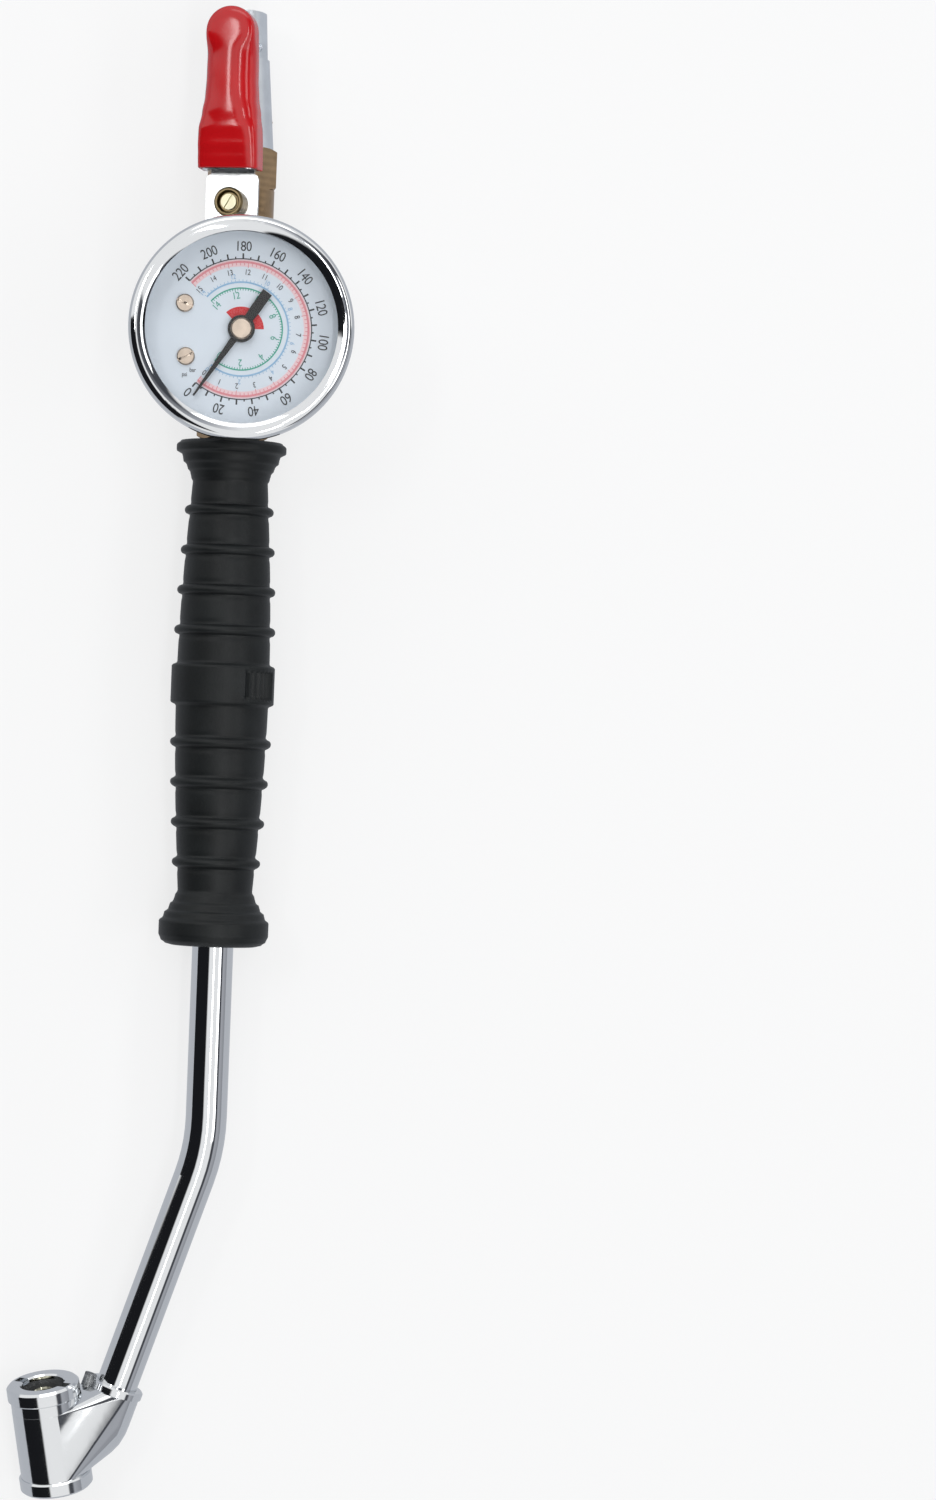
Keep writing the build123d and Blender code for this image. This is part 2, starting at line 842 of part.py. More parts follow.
def make_valve_body():
    hex_high = handle_bottom_y
    spigot_low = head_top_y - valve_spigot_length
    body = rod_y(valve_spigot_radius, spigot_low, head_top_y)
    body += rod_y(valve_round_radius, head_top_y, valve_hex_y)
    corner = hex_radius(valve_flats)
    round_off = turned_y(
        (0, valve_hex_y), (valve_flats / 2 + 0.2, valve_hex_y), (corner, valve_hex_y + hex_chamfer),
        (corner, hex_high - hex_chamfer), (valve_flats / 2, hex_high), (0, hex_high))
    body += hex_y(valve_flats, valve_hex_y, hex_high) & round_off
    body += rod_y(top_spigot_radius, hex_high, hex_high + top_spigot_length)
    front = valve_flats / 2
    wide = 2 * valve_round_radius
    body -= block(-wide, wide, head_top_y + valve_foot_height, valve_hex_y + 1, front, wide)
    body -= rod_y(air_bore, spigot_low - 1, hex_high + top_spigot_length + 1)
    body -= rod_z(bleed_thread_radius + fit_gap, bleed_hole_floor, front + 1, 0, bleed_y)
    body -= rod_z(bleed_passage_radius, 0, bleed_passage_end, 0, bleed_y)
    return body


def handle_section(size, y):
    plane = Plane(origin=(0, y, 0), x_dir=(1, 0, 0), z_dir=(0, 1, 0))
    return plane * Ellipse(size[0], size[1])


def make_handle():
    lower = loft([
        handle_section(handle_bottom_size, handle_bottom_y),
        handle_section(handle_step_size, handle_step_y),
    ])
    upper = loft([
        handle_section((handle_step_size[0] - 0.6, handle_step_size[1] - 0.2), handle_step_y),
        handle_section(handle_top_size, handle_top_y),
    ])
    body = lower + upper
    body -= rod_y(top_spigot_radius + fit_gap, handle_bottom_y - 1,
                  handle_bottom_y + top_spigot_length + 0.6)
    body -= rod_y(inlet_bore, handle_top_y - inlet_depth, handle_top_y + 1)
    chamber_y = handle_top_y - inlet_depth + 1
    body -= rod_y(air_bore, plunger_y, chamber_y, z=-inlet_passage_back)
    body -= rod_y(outlet_bore, handle_bottom_y + top_spigot_length, plunger_y,
                  z=outlet_passage_front)
    reach = 2 * handle_bottom_size[1]
    body -= rod_z(poppet_chamber_radius, chamber_back_z - 0.5, poppet_seat_z, 0, plunger_y)
    body -= rod_z(poppet_radius - 1.0, 0, bush_low_z(), 0, plunger_y)
    body -= rod_z(bush_shank_radius + fit_gap, bush_low_z() - 0.1, reach, 0, plunger_y)
    body -= rod_z(plunger_bush_radius + fit_gap, bush_seat_z(), reach, 0, plunger_y)
    body -= rod_z(cap_radius + fit_gap, -reach, chamber_back_z, 0, plunger_y)
    # Shallow drilled dimple beside the trigger
    dimple = rod_z(dimple_radius, dimple_floor, reach)
    return body - Pos(0, dimple_y, 0) * Rot(0, dimple_angle, 0) * dimple


def make_plunger_bush():
    high = bush_seat_z() + plunger_bush_collar
    body = rod_z(bush_shank_radius, bush_low_z(), bush_seat_z(), 0, plunger_y)
    body += rod_z(plunger_bush_radius, bush_seat_z(), high, 0, plunger_y)
    return body - rod_z(plunger_radius + running_gap, 0, high + 1, 0, plunger_y)


def bush_low_z():
    # The bush stops short of the passage that leads the air on.
    return outlet_passage_front + outlet_bore + free_gap


def bush_seat_z():
    # A flat spot-faced just below the handle's front, where the bush's collar sits.
    share = (plunger_y - handle_bottom_y) / (handle_step_y - handle_bottom_y)
    bottom, top = handle_bottom_size[1], handle_step_size[1]
    return bottom + (top - bottom) * share - bush_seat_depth


def make_plunger():
    tip = trigger_inner_front(plunger_y) - free_gap
    body = rod_z(plunger_radius, poppet_seat_z - 0.2, tip, 0, plunger_y)
    tip_edge = body.edges().filter_by(GeomType.CIRCLE).sort_by(Axis.Z)[-1]
    body = fillet(tip_edge, plunger_radius * 0.6)
    head_top = poppet_seat_z - poppet_seal_thickness
    body += rod_z(poppet_radius, head_top - poppet_height, head_top, 0, plunger_y)
    return body + rod_z(plunger_radius, head_top - 0.5, poppet_seat_z, 0, plunger_y)


def make_poppet_seal():
    low = poppet_seat_z - poppet_seal_thickness
    seal = rod_z(poppet_radius, low, poppet_seat_z, 0, plunger_y)
    return seal - rod_z(plunger_radius, low - 1, poppet_seat_z + 1, 0, plunger_y)


def cap_end_z():
    # The turned cap ends just short of the surface that the grip's flanges rest on.
    turn = radians(abs(head_turn))
    return -(flange_radius - rest_gap - cap_flats / 2 * sin(turn)) / cos(turn)


def make_poppet_cap():
    end = cap_end_z()
    cap = rod_z(cap_radius, chamber_back_z - cap_depth, chamber_back_z)
    head = hex_z(cap_flats, end, chamber_back_z - cap_depth)
    cap += chamfer(head.faces().sort_by(Axis.Z)[0].edges(), cap_chamfer)
    cap -= block(-cap_radius, cap_radius, -cap_slot / 2, cap_slot / 2, end - 1,
                 end + cap_slot)
    return Pos(0, plunger_y, 0) * cap


def make_inlet_spring():
    low = chamber_back_z + spring_wire / 2 + 0.05
    head_low = poppet_seat_z - poppet_seal_thickness - poppet_height
    high = head_low - spring_wire / 2 - 0.05
    return Pos(0, plunger_y, 0) * coil(poppet_radius - 0.7, low, high, 3)


def make_bracket():
    back = valve_flats / 2
    front = back + bracket_thickness
    base = block(-bracket_half_width, bracket_half_width, bracket_bottom_y,
                 bracket_shoulder_y, back, front)
    corners = base.edges().filter_by(Axis.Z)
    base = fillet(corners, 1.5)
    base += block(-ear_half_width, ear_half_width, bracket_shoulder_y - 2, ear_top_y,
                  back, front)
    ear = block(ear_half_width - bracket_thickness, ear_half_width,
                bracket_shoulder_y + 1, ear_top_y, front - 0.5, ear_front_z)
    top_edges = ear.edges().filter_by(Axis.X).sort_by(Axis.Z)[-2:]
    ear = fillet(top_edges, 2.4)
    body = base + ear + mirror(ear, Plane.YZ)
    body -= rod_x(pivot_radius + 0.02, -10, 10, pivot_y, pivot_z)
    body -= rod_z(bleed_thread_radius + 0.2, back - 1, front + 1, 0, bleed_y)
    return body


def make_pivot_pin():
    half = trigger_stations[0][1] - 0.2
    return rod_x(pivot_radius, -half, half, pivot_y, pivot_z)


def trigger_section(station, grow, back_grow):
    y, half, front, back, corner = station
    half += grow
    front += grow
    back -= back_grow
    radius = corner + grow
    plane = Plane(origin=(0, y, 0), x_dir=(1, 0, 0), z_dir=(0, -1, 0))
    outline = (
        Line((-half, back), (half, back))
        + Line((half, back), (half, front - radius))
        + CenterArc((half - radius, front - radius), radius, 0, 90)
        + Line((half - radius, front), (radius - half, front))
        + CenterArc((radius - half, front - radius), radius, 90, 90)
        + Line((-half, front - radius), (-half, back))
    )
    return plane * make_face(outline)


def trigger_envelope(grow, back_grow, bottom, top):
    # A tapering U-shaped bar with a round nose, cut to a height range.
    sections = [trigger_section(station, grow, back_grow) for station in trigger_stations]
    last = trigger_stations[-1]
    sections.append(trigger_section((last[0] + 4,) + last[1:], grow, back_grow))
    body = loft(sections, ruled=True)
    nose = last[1] + grow
    plan = Pos(0, top - nose) * Circle(nose)
    across = 4 * last[1]
    plan += Pos(0, (bottom + top - nose) / 2) * Rectangle(across, top - nose - bottom)
    return body & extrude(plan, 2 * last[2])


def trigger_inner_front(y):
    # The inside face of the trigger's front wall, at a height.
    for low, high in zip(trigger_stations, trigger_stations[1:]):
        if low[0] <= y <= high[0]:
            share = (y - low[0]) / (high[0] - low[0])
            return low[2] + (high[2] - low[2]) * share - trigger_wall
    return trigger_stations[-1][2] - trigger_wall


def make_trigger():
    outside = trigger_envelope(0, 0, trigger_bottom_y, trigger_top_y)
    inside = trigger_envelope(-trigger_wall, 5, trigger_bottom_y - 5,
                              trigger_top_y - trigger_wall)
    body = outside - inside
    return body - rod_x(pivot_radius + running_gap, -12, 12, pivot_y, pivot_z)


def make_vinyl():
    outside = trigger_envelope(vinyl_wall, vinyl_lip, vinyl_bottom_y,
                               trigger_top_y + vinyl_wall)
    steel = trigger_envelope(0, 0, trigger_bottom_y - 5, trigger_top_y)
    inside = trigger_envelope(-trigger_wall, 5, trigger_bottom_y - 5,
                              trigger_top_y - trigger_wall)
    return outside - steel - inside


# Bleed valve

def make_bleed_bush():
    seat = valve_flats / 2 + bracket_thickness
    body = turned_z(
        (0, seat), (bleed_radius, seat), (bleed_radius, bleed_front_z - bleed_head_chamfer),
        (bleed_radius - bleed_head_chamfer, bleed_front_z), (0, bleed_front_z))
    body += rod_z(bleed_thread_radius, bleed_thread_end, seat)
    body -= rod_z(bleed_button_radius + running_gap, seat - bleed_seat_depth, bleed_front_z + 1)
    pit_floor = bleed_front_z - bleed_recess
    body -= turned_z(
        (0, bleed_front_z + fit_gap), (bleed_radius - bleed_pit_edge, bleed_front_z + fit_gap),
        (bleed_button_radius + 0.5, pit_floor), (0, pit_floor))
    body -= rod_z(bleed_stem_radius + running_gap, 0, seat)
    return Pos(0, bleed_y, 0) * body


def bleed_button_back():
    return bleed_front_z - bleed_button_drop - bleed_button_height


def make_bleed_button():
    front = bleed_front_z - bleed_button_drop
    body = rod_z(bleed_button_radius, bleed_button_back(), front)
    body -= block(-bleed_radius, bleed_radius, -bleed_slot / 2, bleed_slot / 2,
                  front - bleed_slot_depth, front + 1)
    body += rod_z(bleed_stem_radius, bleed_stem_end, bleed_button_back())
    return Pos(0, bleed_y, 0) * Rot(0, 0, bleed_slot_angle) * body


def make_bleed_spring():
    low = valve_flats / 2 + bracket_thickness - bleed_seat_depth + spring_end_gap
    high = bleed_button_back() - spring_end_gap
    return Pos(0, bleed_y, 0) * coil(bleed_button_radius - bleed_spring_inset, low, high, 2)


# Chuck, drawn in its own frame: Z up the tube, X towards the barrel

def barrel_frame():
    return Pos(chuck_side, 0, -chuck_drop) * Rot(0, chuck_angle, 0)


def chuck_boss():
    # Socket for the tube: a collar, a straight part and a long domed end.
    low = -chuck_boss_straight - chuck_boss_end
    dome = ThreePointArc((boss_flat_radius, low), chuck_boss_middle,
                         (chuck_boss_radius, -chuck_boss_straight))
    side = Line((chuck_boss_radius, -chuck_boss_straight),
                (chuck_boss_radius, -chuck_collar_height))
    collar = Polyline(
        (chuck_boss_radius, -chuck_collar_height), (chuck_collar_radius, -chuck_collar_height),
        (chuck_collar_radius, -0.5), (chuck_collar_radius - 0.5, 0), (0, 0), (0, low),
        (boss_flat_radius, low))
    return revolve(Plane.XZ * make_face(dome + side + collar), Axis.Z)


def foot_clearance():
    # Room round both foot rings, cut from the casting's web.
    low = chuck_length / 2 - foot_ring_height
    room = rod_z(foot_ring_radius + free_gap, low, chuck_length)
    return room + mirror(room, Plane.XY)


def make_chuck_body():
    half = chuck_length / 2 - foot_lip
    neck = half - foot_ring_height + foot_lip
    barrel = rod_z(chuck_neck_radius, -half, half) + rod_z(chuck_radius, -neck, neck)
    barrel = barrel_frame() * barrel
    start = RectangleRounded(2 * web_half_height, 2 * web_half_width, web_start_corner)
    side = RectangleRounded(2 * (neck - web_edge_gap), 2 * (chuck_radius - web_edge_gap),
                            web_side_corner)
    web = loft([Pos(0, 0, -web_half_height) * Rot(0, 90, 0) * start,
                barrel_frame() * Rot(0, 90, 0) * side], ruled=True)
    web -= barrel_frame() * foot_clearance()
    boss = chuck_boss()
    body = barrel + boss + web
    body -= rod_z(tube_radius + fit_gap, -socket_depth, 1)
    body -= rod_z(plug_radius + fit_gap, plug_seat_z, 5, plug_side)
    body -= rod_z(plug_thread_radius + fit_gap, plug_bottom_z - 0.5, 0, plug_side)
    inner = chuck_length / 2 - foot_lip - foot_seal_thickness
    mouth = rod_z(foot_seal_radius + fit_gap, inner, half + 1)
    for bore in (rod_z(chuck_chamber_radius, -half - 1, half + 1), mouth, other_end(mouth)):
        body -= barrel_frame() * bore
    length = sqrt(chuck_side ** 2 + chuck_drop ** 2)
    toward = degrees(atan2(chuck_side, -chuck_drop))
    body -= Rot(0, toward, 0) * rod_z(2.2, 6, length)
    return body


def make_plug():
    # Slotted screw that closes the drilled passage beside the tube.
    plug = rod_z(plug_radius, plug_seat_z, plug_top_z, plug_side)
    plug += rod_z(plug_thread_radius, plug_bottom_z, plug_seat_z, plug_side)
    slot = block(plug_side - plug_radius, plug_side + plug_radius, -0.35, 0.35,
                 plug_top_z - 0.7, plug_top_z + 1)
    return plug - slot


def make_foot_ring():
    # A cap ring with spanner notches, drawn for the top end.
    top = chuck_length / 2
    low = top - foot_ring_height
    body = turned_z(
        (chuck_neck_radius + fit_gap, low),
        (foot_ring_radius - 0.5, low),
        (foot_ring_radius, low + 0.5),
        (foot_ring_radius, top - 0.7),
        (foot_ring_radius - 0.7, top),
        (foot_opening_radius + 0.5, top),
        (foot_opening_radius, top - 0.5),
        (foot_opening_radius, top - foot_lip),
        (chuck_neck_radius + fit_gap, top - foot_lip),
    )
    notch = block(-foot_notch_width / 2, foot_notch_width / 2, foot_opening_radius - 1,
                  foot_ring_radius - 1.4, top - foot_lip - 0.1, top + 1)
    for turn in (40, 220):
        body -= Rot(0, 0, turn) * notch
    return body


def make_foot_seal():
    high = chuck_length / 2 - foot_lip
    low = high - foot_seal_thickness
    return turned_z(
        (foot_seal_hole, low), (foot_seal_radius, low), (foot_seal_radius, high),
        (foot_seal_hole + 1.0, high), (foot_seal_hole, high - 1.0))


def make_core():
    # Disc, guide pin and a cross-slotted nose that the tyre valve pushes.
    seal_low = chuck_length / 2 - foot_lip - foot_seal_thickness
    disc_high = seal_low - 0.05
    body = rod_z(core_disc_radius, disc_high - core_disc_thickness, disc_high)
    nose_high = chuck_length / 2 - core_nose_drop
    nose = rod_z(core_pin_radius + 0.9, disc_high, nose_high)
    nose -= rod_z(core_pin_radius - 0.9, nose_high - 1.2, nose_high + 1)
    nose -= block(-5, 5, -0.5, 0.5, nose_high - 1.4, nose_high + 1)
    body += nose
    body += rod_z(core_pin_radius, disc_high - core_disc_thickness - 3, disc_high - 1)
    return body


def make_chuck_spring():
    seal_low = chuck_length / 2 - foot_lip - foot_seal_thickness
    reach = seal_low - 0.05 - core_disc_thickness - spring_wire / 2 - 0.05
    return coil(core_pin_radius + 0.9, -reach, reach, 5)


def other_end(shape):
    return Rot(180, 0, 0) * shape


def in_chuck(shape):
    return chuck_frame() * barrel_frame() * shape


def in_gauge(shape):
    return Pos(gauge_side, 0, 0) * shape


def in_head(shape):
    return Rot(0, head_turn, 0) * shape


def make_nodes():
    tube_and_grip = {
        "bent_tube": make_tube(),
        "handle_grip": make_grip(),
        "head_casting": make_head_casting(),
        "tube_nut": make_tube_nut(),
    }
    gauge = {
        "gauge_case": make_case(),
        "bezel_ring": make_bezel(),
        "lens_gasket": make_gasket(),
        "gauge_lens": make_lens(),
        "dial_plate": make_dial(),
        "scale_ticks": make_scale_ticks(),
        "scale_band_pink": make_band(pink_band_radius, pink_band_width),
        "scale_band_blue": make_band(blue_band_radius, blue_band_width),
        "scale_band_green": make_band(green_band_radius, green_band_width),
        "dial_red_sector": make_red_sector(),
        "dial_screws": make_dial_screws(),
        "dial_posts": make_dial_posts(),
        "pointer": make_pointer(),
        "pointer_cap": make_pointer_cap(),
        "gauge_stem": make_stem(),
        "bourdon_tube": make_bourdon_tube(),
        "bourdon_tip": make_tip_block(),
        "movement_base_plate": make_plate(lower_plate_z),
        "movement_top_plate": make_plate(upper_plate_z),
        "movement_pillars": make_pillars(),
        "pinion_arbor": make_arbor(),
        "sector_gear": make_sector_gear(),
        "movement_link": make_link(),
    }
    head = {
        "valve_body": make_valve_body(),
        "inlet_handle": make_handle(),
        "plunger_bush": make_plunger_bush(),
        "inlet_plunger": make_plunger(),
        "poppet_seal": make_poppet_seal(),
        "poppet_cap": make_poppet_cap(),
        "inlet_spring": make_inlet_spring(),
        "trigger_bracket": make_bracket(),
        "pivot_pin": make_pivot_pin(),
        "trigger_lever": make_trigger(),
        "trigger_vinyl": make_vinyl(),
        "bleed_bush": make_bleed_bush(),
        "bleed_button": make_bleed_button(),
        "bleed_spring": make_bleed_spring(),
    }
    chuck = {
        "foot_ring_top": make_foot_ring(),
        "foot_ring_bottom": other_end(make_foot_ring()),
        "foot_seal_top": make_foot_seal(),
        "foot_seal_bottom": other_end(make_foot_seal()),
        "chuck_core_top": make_core(),
        "chuck_core_bottom": other_end(make_core()),
        "chuck_spring": make_chuck_spring(),
    }
    nodes = dict(tube_and_grip)
    nodes["chuck_body"] = chuck_frame() * make_chuck_body()
    nodes["passage_plug"] = chuck_frame() * make_plug()
    for name, shape in gauge.items():
        nodes[name] = in_gauge(shape)
    for name, shape in head.items():
        nodes[name] = in_head(shape)
    for name, shape in chuck.items():
        nodes[name] = in_chuck(shape)
    return nodes


def base_shift(nodes):
    # Moves the whole so that its box stands centred on the origin, base at Z = 0.
    boxes = [shape.bounding_box() for shape in nodes.values()]
    low_x = min(box.min.X for box in boxes)
    high_x = max(box.max.X for box in boxes)
    low_y = min(box.min.Y for box in boxes)
    high_y = max(box.max.Y for box in boxes)
    low_z = min(box.min.Z for box in boxes)
    return Pos(-(low_x + high_x) / 2, -(low_y + high_y) / 2, -low_z)


built = make_nodes()
base = base_shift(built)
os.makedirs("parts", exist_ok=True)
for node_name, node_shape in built.items():
    export_step(base * node_shape, "parts/" + node_name + ".step")
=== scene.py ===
import json
import math

import bmesh
import bpy
from bpy.props import FloatProperty, FloatVectorProperty, IntProperty
from mathutils import Matrix, Vector


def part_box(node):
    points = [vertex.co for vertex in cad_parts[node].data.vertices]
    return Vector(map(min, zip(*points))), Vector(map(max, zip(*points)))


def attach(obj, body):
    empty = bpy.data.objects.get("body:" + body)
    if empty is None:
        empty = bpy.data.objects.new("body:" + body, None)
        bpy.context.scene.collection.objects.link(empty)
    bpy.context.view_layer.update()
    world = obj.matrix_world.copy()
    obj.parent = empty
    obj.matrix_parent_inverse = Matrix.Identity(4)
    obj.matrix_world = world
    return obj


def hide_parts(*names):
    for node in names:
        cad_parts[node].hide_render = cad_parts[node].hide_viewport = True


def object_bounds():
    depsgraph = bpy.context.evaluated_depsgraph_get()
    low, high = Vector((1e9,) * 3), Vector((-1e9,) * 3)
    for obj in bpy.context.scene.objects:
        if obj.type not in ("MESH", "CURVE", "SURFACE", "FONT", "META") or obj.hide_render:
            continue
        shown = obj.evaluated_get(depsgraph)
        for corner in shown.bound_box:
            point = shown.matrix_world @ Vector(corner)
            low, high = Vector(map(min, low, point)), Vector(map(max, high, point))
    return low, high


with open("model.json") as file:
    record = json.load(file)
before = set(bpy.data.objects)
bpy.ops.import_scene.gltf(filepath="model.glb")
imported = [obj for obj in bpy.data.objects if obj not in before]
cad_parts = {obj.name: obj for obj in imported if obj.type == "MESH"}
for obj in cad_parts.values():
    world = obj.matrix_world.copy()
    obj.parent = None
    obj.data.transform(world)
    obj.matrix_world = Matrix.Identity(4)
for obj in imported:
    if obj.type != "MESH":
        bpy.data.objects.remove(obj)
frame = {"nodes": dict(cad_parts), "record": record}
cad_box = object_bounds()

bl_info = {
    "name": "Tyre Inflator Gauge",
    "version": (1, 0, 0),
    "blender": (4, 5, 0),
    "location": "View3D > Sidebar > Inflator",
    "description": "Dresses a tyre inflator's parts, prints its dial and sets its stage",
    "category": "Object",
}

MM = 0.001
WAVE_RADIANS = 20  # of a wave texture, for each unit of its scale
nodes = frame["nodes"]
record = frame["record"]


def hex_colour(text):
    """An sRGB hex value as a linear colour with alpha."""
    values = [int(text[i:i + 2], 16) / 255 for i in (1, 3, 5)]
    linear = [v / 12.92 if v <= 0.04045 else ((v + 0.055) / 1.055) ** 2.4 for v in values]
    return (*linear, 1.0)


def colour(name, description, text):
    return FloatVectorProperty(name=name, description=description, subtype="COLOR",
                               size=4, min=0.0, max=1.0, default=hex_colour(text))


def length(name, description, millimetres):
    return FloatProperty(name=name, description=description, unit="LENGTH",
                         default=millimetres * MM, min=0.0, precision=5)


class InflatorSizes(bpy.types.PropertyGroup):
    number_height: length("Outer numbers", "Height of the dial's outer numbers", 3.0)
    inner_number_height: length("Inner numbers", "Height of the inner numbers", 2.1)
    rubber_grain: length("Rubber grain", "Width of a grain in the moulded rubber", 0.5)
    casting_grain: length("Casting grain", "Width of a grain in the die casting", 0.7)
    turning_pitch: length("Turning pitch", "Step between turning marks on brass", 0.35)
    camera_height: length("Camera height", "From the bezel's front to the lens", 1300.0)
    camera_roll: FloatProperty(name="Camera roll", description="Turn about the view axis",
                               subtype="ANGLE", default=math.radians(2.17))


class InflatorColours(bpy.types.PropertyGroup):
    chrome: colour("Chrome", "Bright chrome plate", "#E4E6E8")
    brass: colour("Brass", "Turned brass", "#B79A78")
    dull_brass: colour("Dull brass", "Bleed bush", "#857557")
    pale_brass: colour("Pale brass", "Bleed button and valve cores", "#D5D0B4")
    rubber: colour("Rubber", "Moulded black rubber", "#191C1D")
    vinyl: colour("Vinyl", "Red dipped vinyl", "#C9141A")
    alloy: colour("Alloy", "Satin die-cast alloy", "#EDF2F7")
    enamel: colour("Enamel", "Pale enamel of the dial", "#DFE9F3")
    ink_black: colour("Black ink", "Numbers and outer scale", "#20252B")
    ink_pink: colour("Pink ink", "Second scale", "#DF8C95")
    ink_pale: colour("Pale pink ink", "Ground of the second scale", "#EFCDD2")
    ink_blue: colour("Blue ink", "Third scale", "#8FB9DA")
    ink_green: colour("Green ink", "Inner scale", "#3FA58F")
    ink_red: colour("Red ink", "Sector behind the hub", "#D2222A")
    steel: colour("Zinc plate", "Bright zinc-plated steel", "#DADBDC")
    copper: colour("Copper brass", "Dial screws and hub cap", "#D2C2B2")


def sizes():
    return bpy.context.scene.inflator_sizes


def colours():
    return bpy.context.scene.inflator_colours


# Shader building

def add(tree, kind, values=None, links=None, **settings):
    """Adds a node with its settings, input values and links."""
    node = tree.nodes.new(kind)
    for name, value in settings.items():
        setattr(node, name, value)
    for key, value in (values or {}).items():
        node.inputs[key].default_value = value
    for key, socket in (links or {}).items():
        tree.links.new(socket, node.inputs[key])
    return node


def new_material(name):
    material = bpy.data.materials.new(name)
    material.use_nodes = True
    tree = material.node_tree
    tree.nodes.clear()
    place = add(tree, "ShaderNodeTexCoord").outputs["Object"]
    return material, tree, place


def per(size):
    """A texture's scale for a pattern of this size in metres."""
    return 1.0 / size


def bands(tree, place, size, axis, distortion, detail):
    """Straight bands along an axis, drawn 2 pi times coarser than the size so they show."""
    return add(tree, "ShaderNodeTexWave",
               {"Scale": per(size) / WAVE_RADIANS, "Distortion": distortion, "Detail": detail},
               {"Vector": place}, wave_type="BANDS", bands_direction=axis).outputs["Fac"]


def shade(tree, values, links=None):
    """Ends a material in one Principled shader."""
    shader = add(tree, "ShaderNodeBsdfPrincipled", values, links)
    add(tree, "ShaderNodeOutputMaterial", links={"Surface": shader.outputs["BSDF"]})
    return shader


def noise(tree, place, size, detail=3.0, roughness=0.5):
    return add(tree, "ShaderNodeTexNoise",
               {"Scale": per(size), "Detail": detail, "Roughness": roughness},
               {"Vector": place}).outputs["Fac"]


def ramp(tree, factor, stops):
    """A colour ramp from (position, colour) pairs."""
    node = add(tree, "ShaderNodeValToRGB", links={"Fac": factor})
    elements = node.color_ramp.elements
    while len(elements) < len(stops):
        elements.new(0.5)
    for element, (position, value) in zip(elements, stops):
        element.position = position
        element.color = value
    return node.outputs["Color"]


def spread(tree, factor, low, high):
    """Maps a 0 to 1 value on to a range."""
    return add(tree, "ShaderNodeMapRange", {"To Min": low, "To Max": high},
               {"Value": factor}).outputs["Result"]


def bump(tree, height, distance, strength=1.0):
    return add(tree, "ShaderNodeBump", {"Distance": distance, "Strength": strength},
               {"Height": height}).outputs["Normal"]


def darker(value, share):
    return (value[0] * share, value[1] * share, value[2] * share, 1.0)


# Materials, each named for what the real one is

def chrome_plate():
    # Polished steel with bright chrome: a mirror with faint polishing haze.
    material, tree, place = new_material("bright_chrome_plate")
    haze = noise(tree, place, 6 * MM)
    shade(tree, {"Base Color": colours().chrome, "Metallic": 1.0},
          {"Roughness": spread(tree, haze, 0.03, 0.085)})
    return material


def cast_chrome():
    # Zinc casting under chrome: a softer mirror, slightly wavy from the mould.
    material, tree, place = new_material("chromed_zinc_casting")
    haze = noise(tree, place, 4 * MM)
    wave = noise(tree, place, 5 * MM, 1.0)
    shade(tree, {"Base Color": colours().chrome, "Metallic": 1.0},
          {"Roughness": spread(tree, haze, 0.06, 0.13),
           "Normal": bump(tree, wave, 0.02 * MM)})
    return material


def turned_brass(name, value, axis="Z"):
    # Brass off the lathe: fine rings from the tool, duller in patches.
    material, tree, place = new_material(name)
    patches = noise(tree, place, 5 * MM)
    rings = bands(tree, place, sizes().turning_pitch, axis, 0.6, 1.0)
    tone = ramp(tree, patches, [(0.3, darker(value, 0.72)), (0.7, value)])
    shade(tree, {"Metallic": 1.0},
          {"Base Color": tone, "Roughness": spread(tree, patches, 0.22, 0.38),
           "Normal": bump(tree, rings, 0.02 * MM)})
    return material


def moulded_rubber():
    # Moulded rubber grip: matt, finely grained, with paler scuffs.
    material, tree, place = new_material("moulded_black_rubber")
    grain = noise(tree, place, sizes().rubber_grain, 4.0, 0.6)
    bloom = noise(tree, place, 9 * MM, 3.0)
    value = colours().rubber
    tone = ramp(tree, bloom, [(0.35, darker(value, 0.8)), (0.72, darker(value, 1.25))])
    shade(tree, {"IOR": 1.45, "Specular IOR Level": 0.32},
          {"Base Color": tone, "Roughness": spread(tree, grain, 0.36, 0.54),
           "Normal": bump(tree, grain, 0.05 * MM, 0.6)})
    return material


def dipped_vinyl():
    # Vinyl dipped over steel: thick, glossy and gently uneven.
    material, tree, place = new_material("dipped_red_vinyl")
    flow = noise(tree, place, 14 * MM, 1.0)
    value = colours().vinyl
    tone = ramp(tree, flow, [(0.3, darker(value, 0.85)), (0.7, value)])
    shade(tree, {"IOR": 1.5, "Coat Weight": 0.2, "Coat Roughness": 0.06},
          {"Base Color": tone, "Roughness": spread(tree, flow, 0.12, 0.18),
           "Normal": bump(tree, flow, 0.25 * MM, 0.5)})
    return material


def cast_alloy():
    # Vibratory-finished die casting: satin, with a fine even grain.
    material, tree, place = new_material("satin_die_cast_alloy")
    grain = noise(tree, place, sizes().casting_grain, 4.0, 0.6)
    patches = noise(tree, place, 8 * MM)
    value = colours().alloy
    tone = ramp(tree, patches, [(0.3, darker(value, 0.86)), (0.7, value)])
    shade(tree, {"Metallic": 1.0},
          {"Base Color": tone, "Roughness": spread(tree, grain, 0.3, 0.46),
           "Normal": bump(tree, grain, 0.03 * MM, 0.5)})
    return material


def zinc_plated_steel():
    # Stamped steel with bright zinc: soft mirror with faint rolling lines.
    material, tree, place = new_material("bright_zinc_plated_steel")
    lines = bands(tree, place, 0.5 * MM, "X", 4.0, 2.0)
    patches = noise(tree, place, 4 * MM)
    shade(tree, {"Base Color": colours().steel, "Metallic": 1.0},
          {"Roughness": spread(tree, patches, 0.14, 0.3),
           "Normal": bump(tree, lines, 0.01 * MM, 0.4)})
    return material


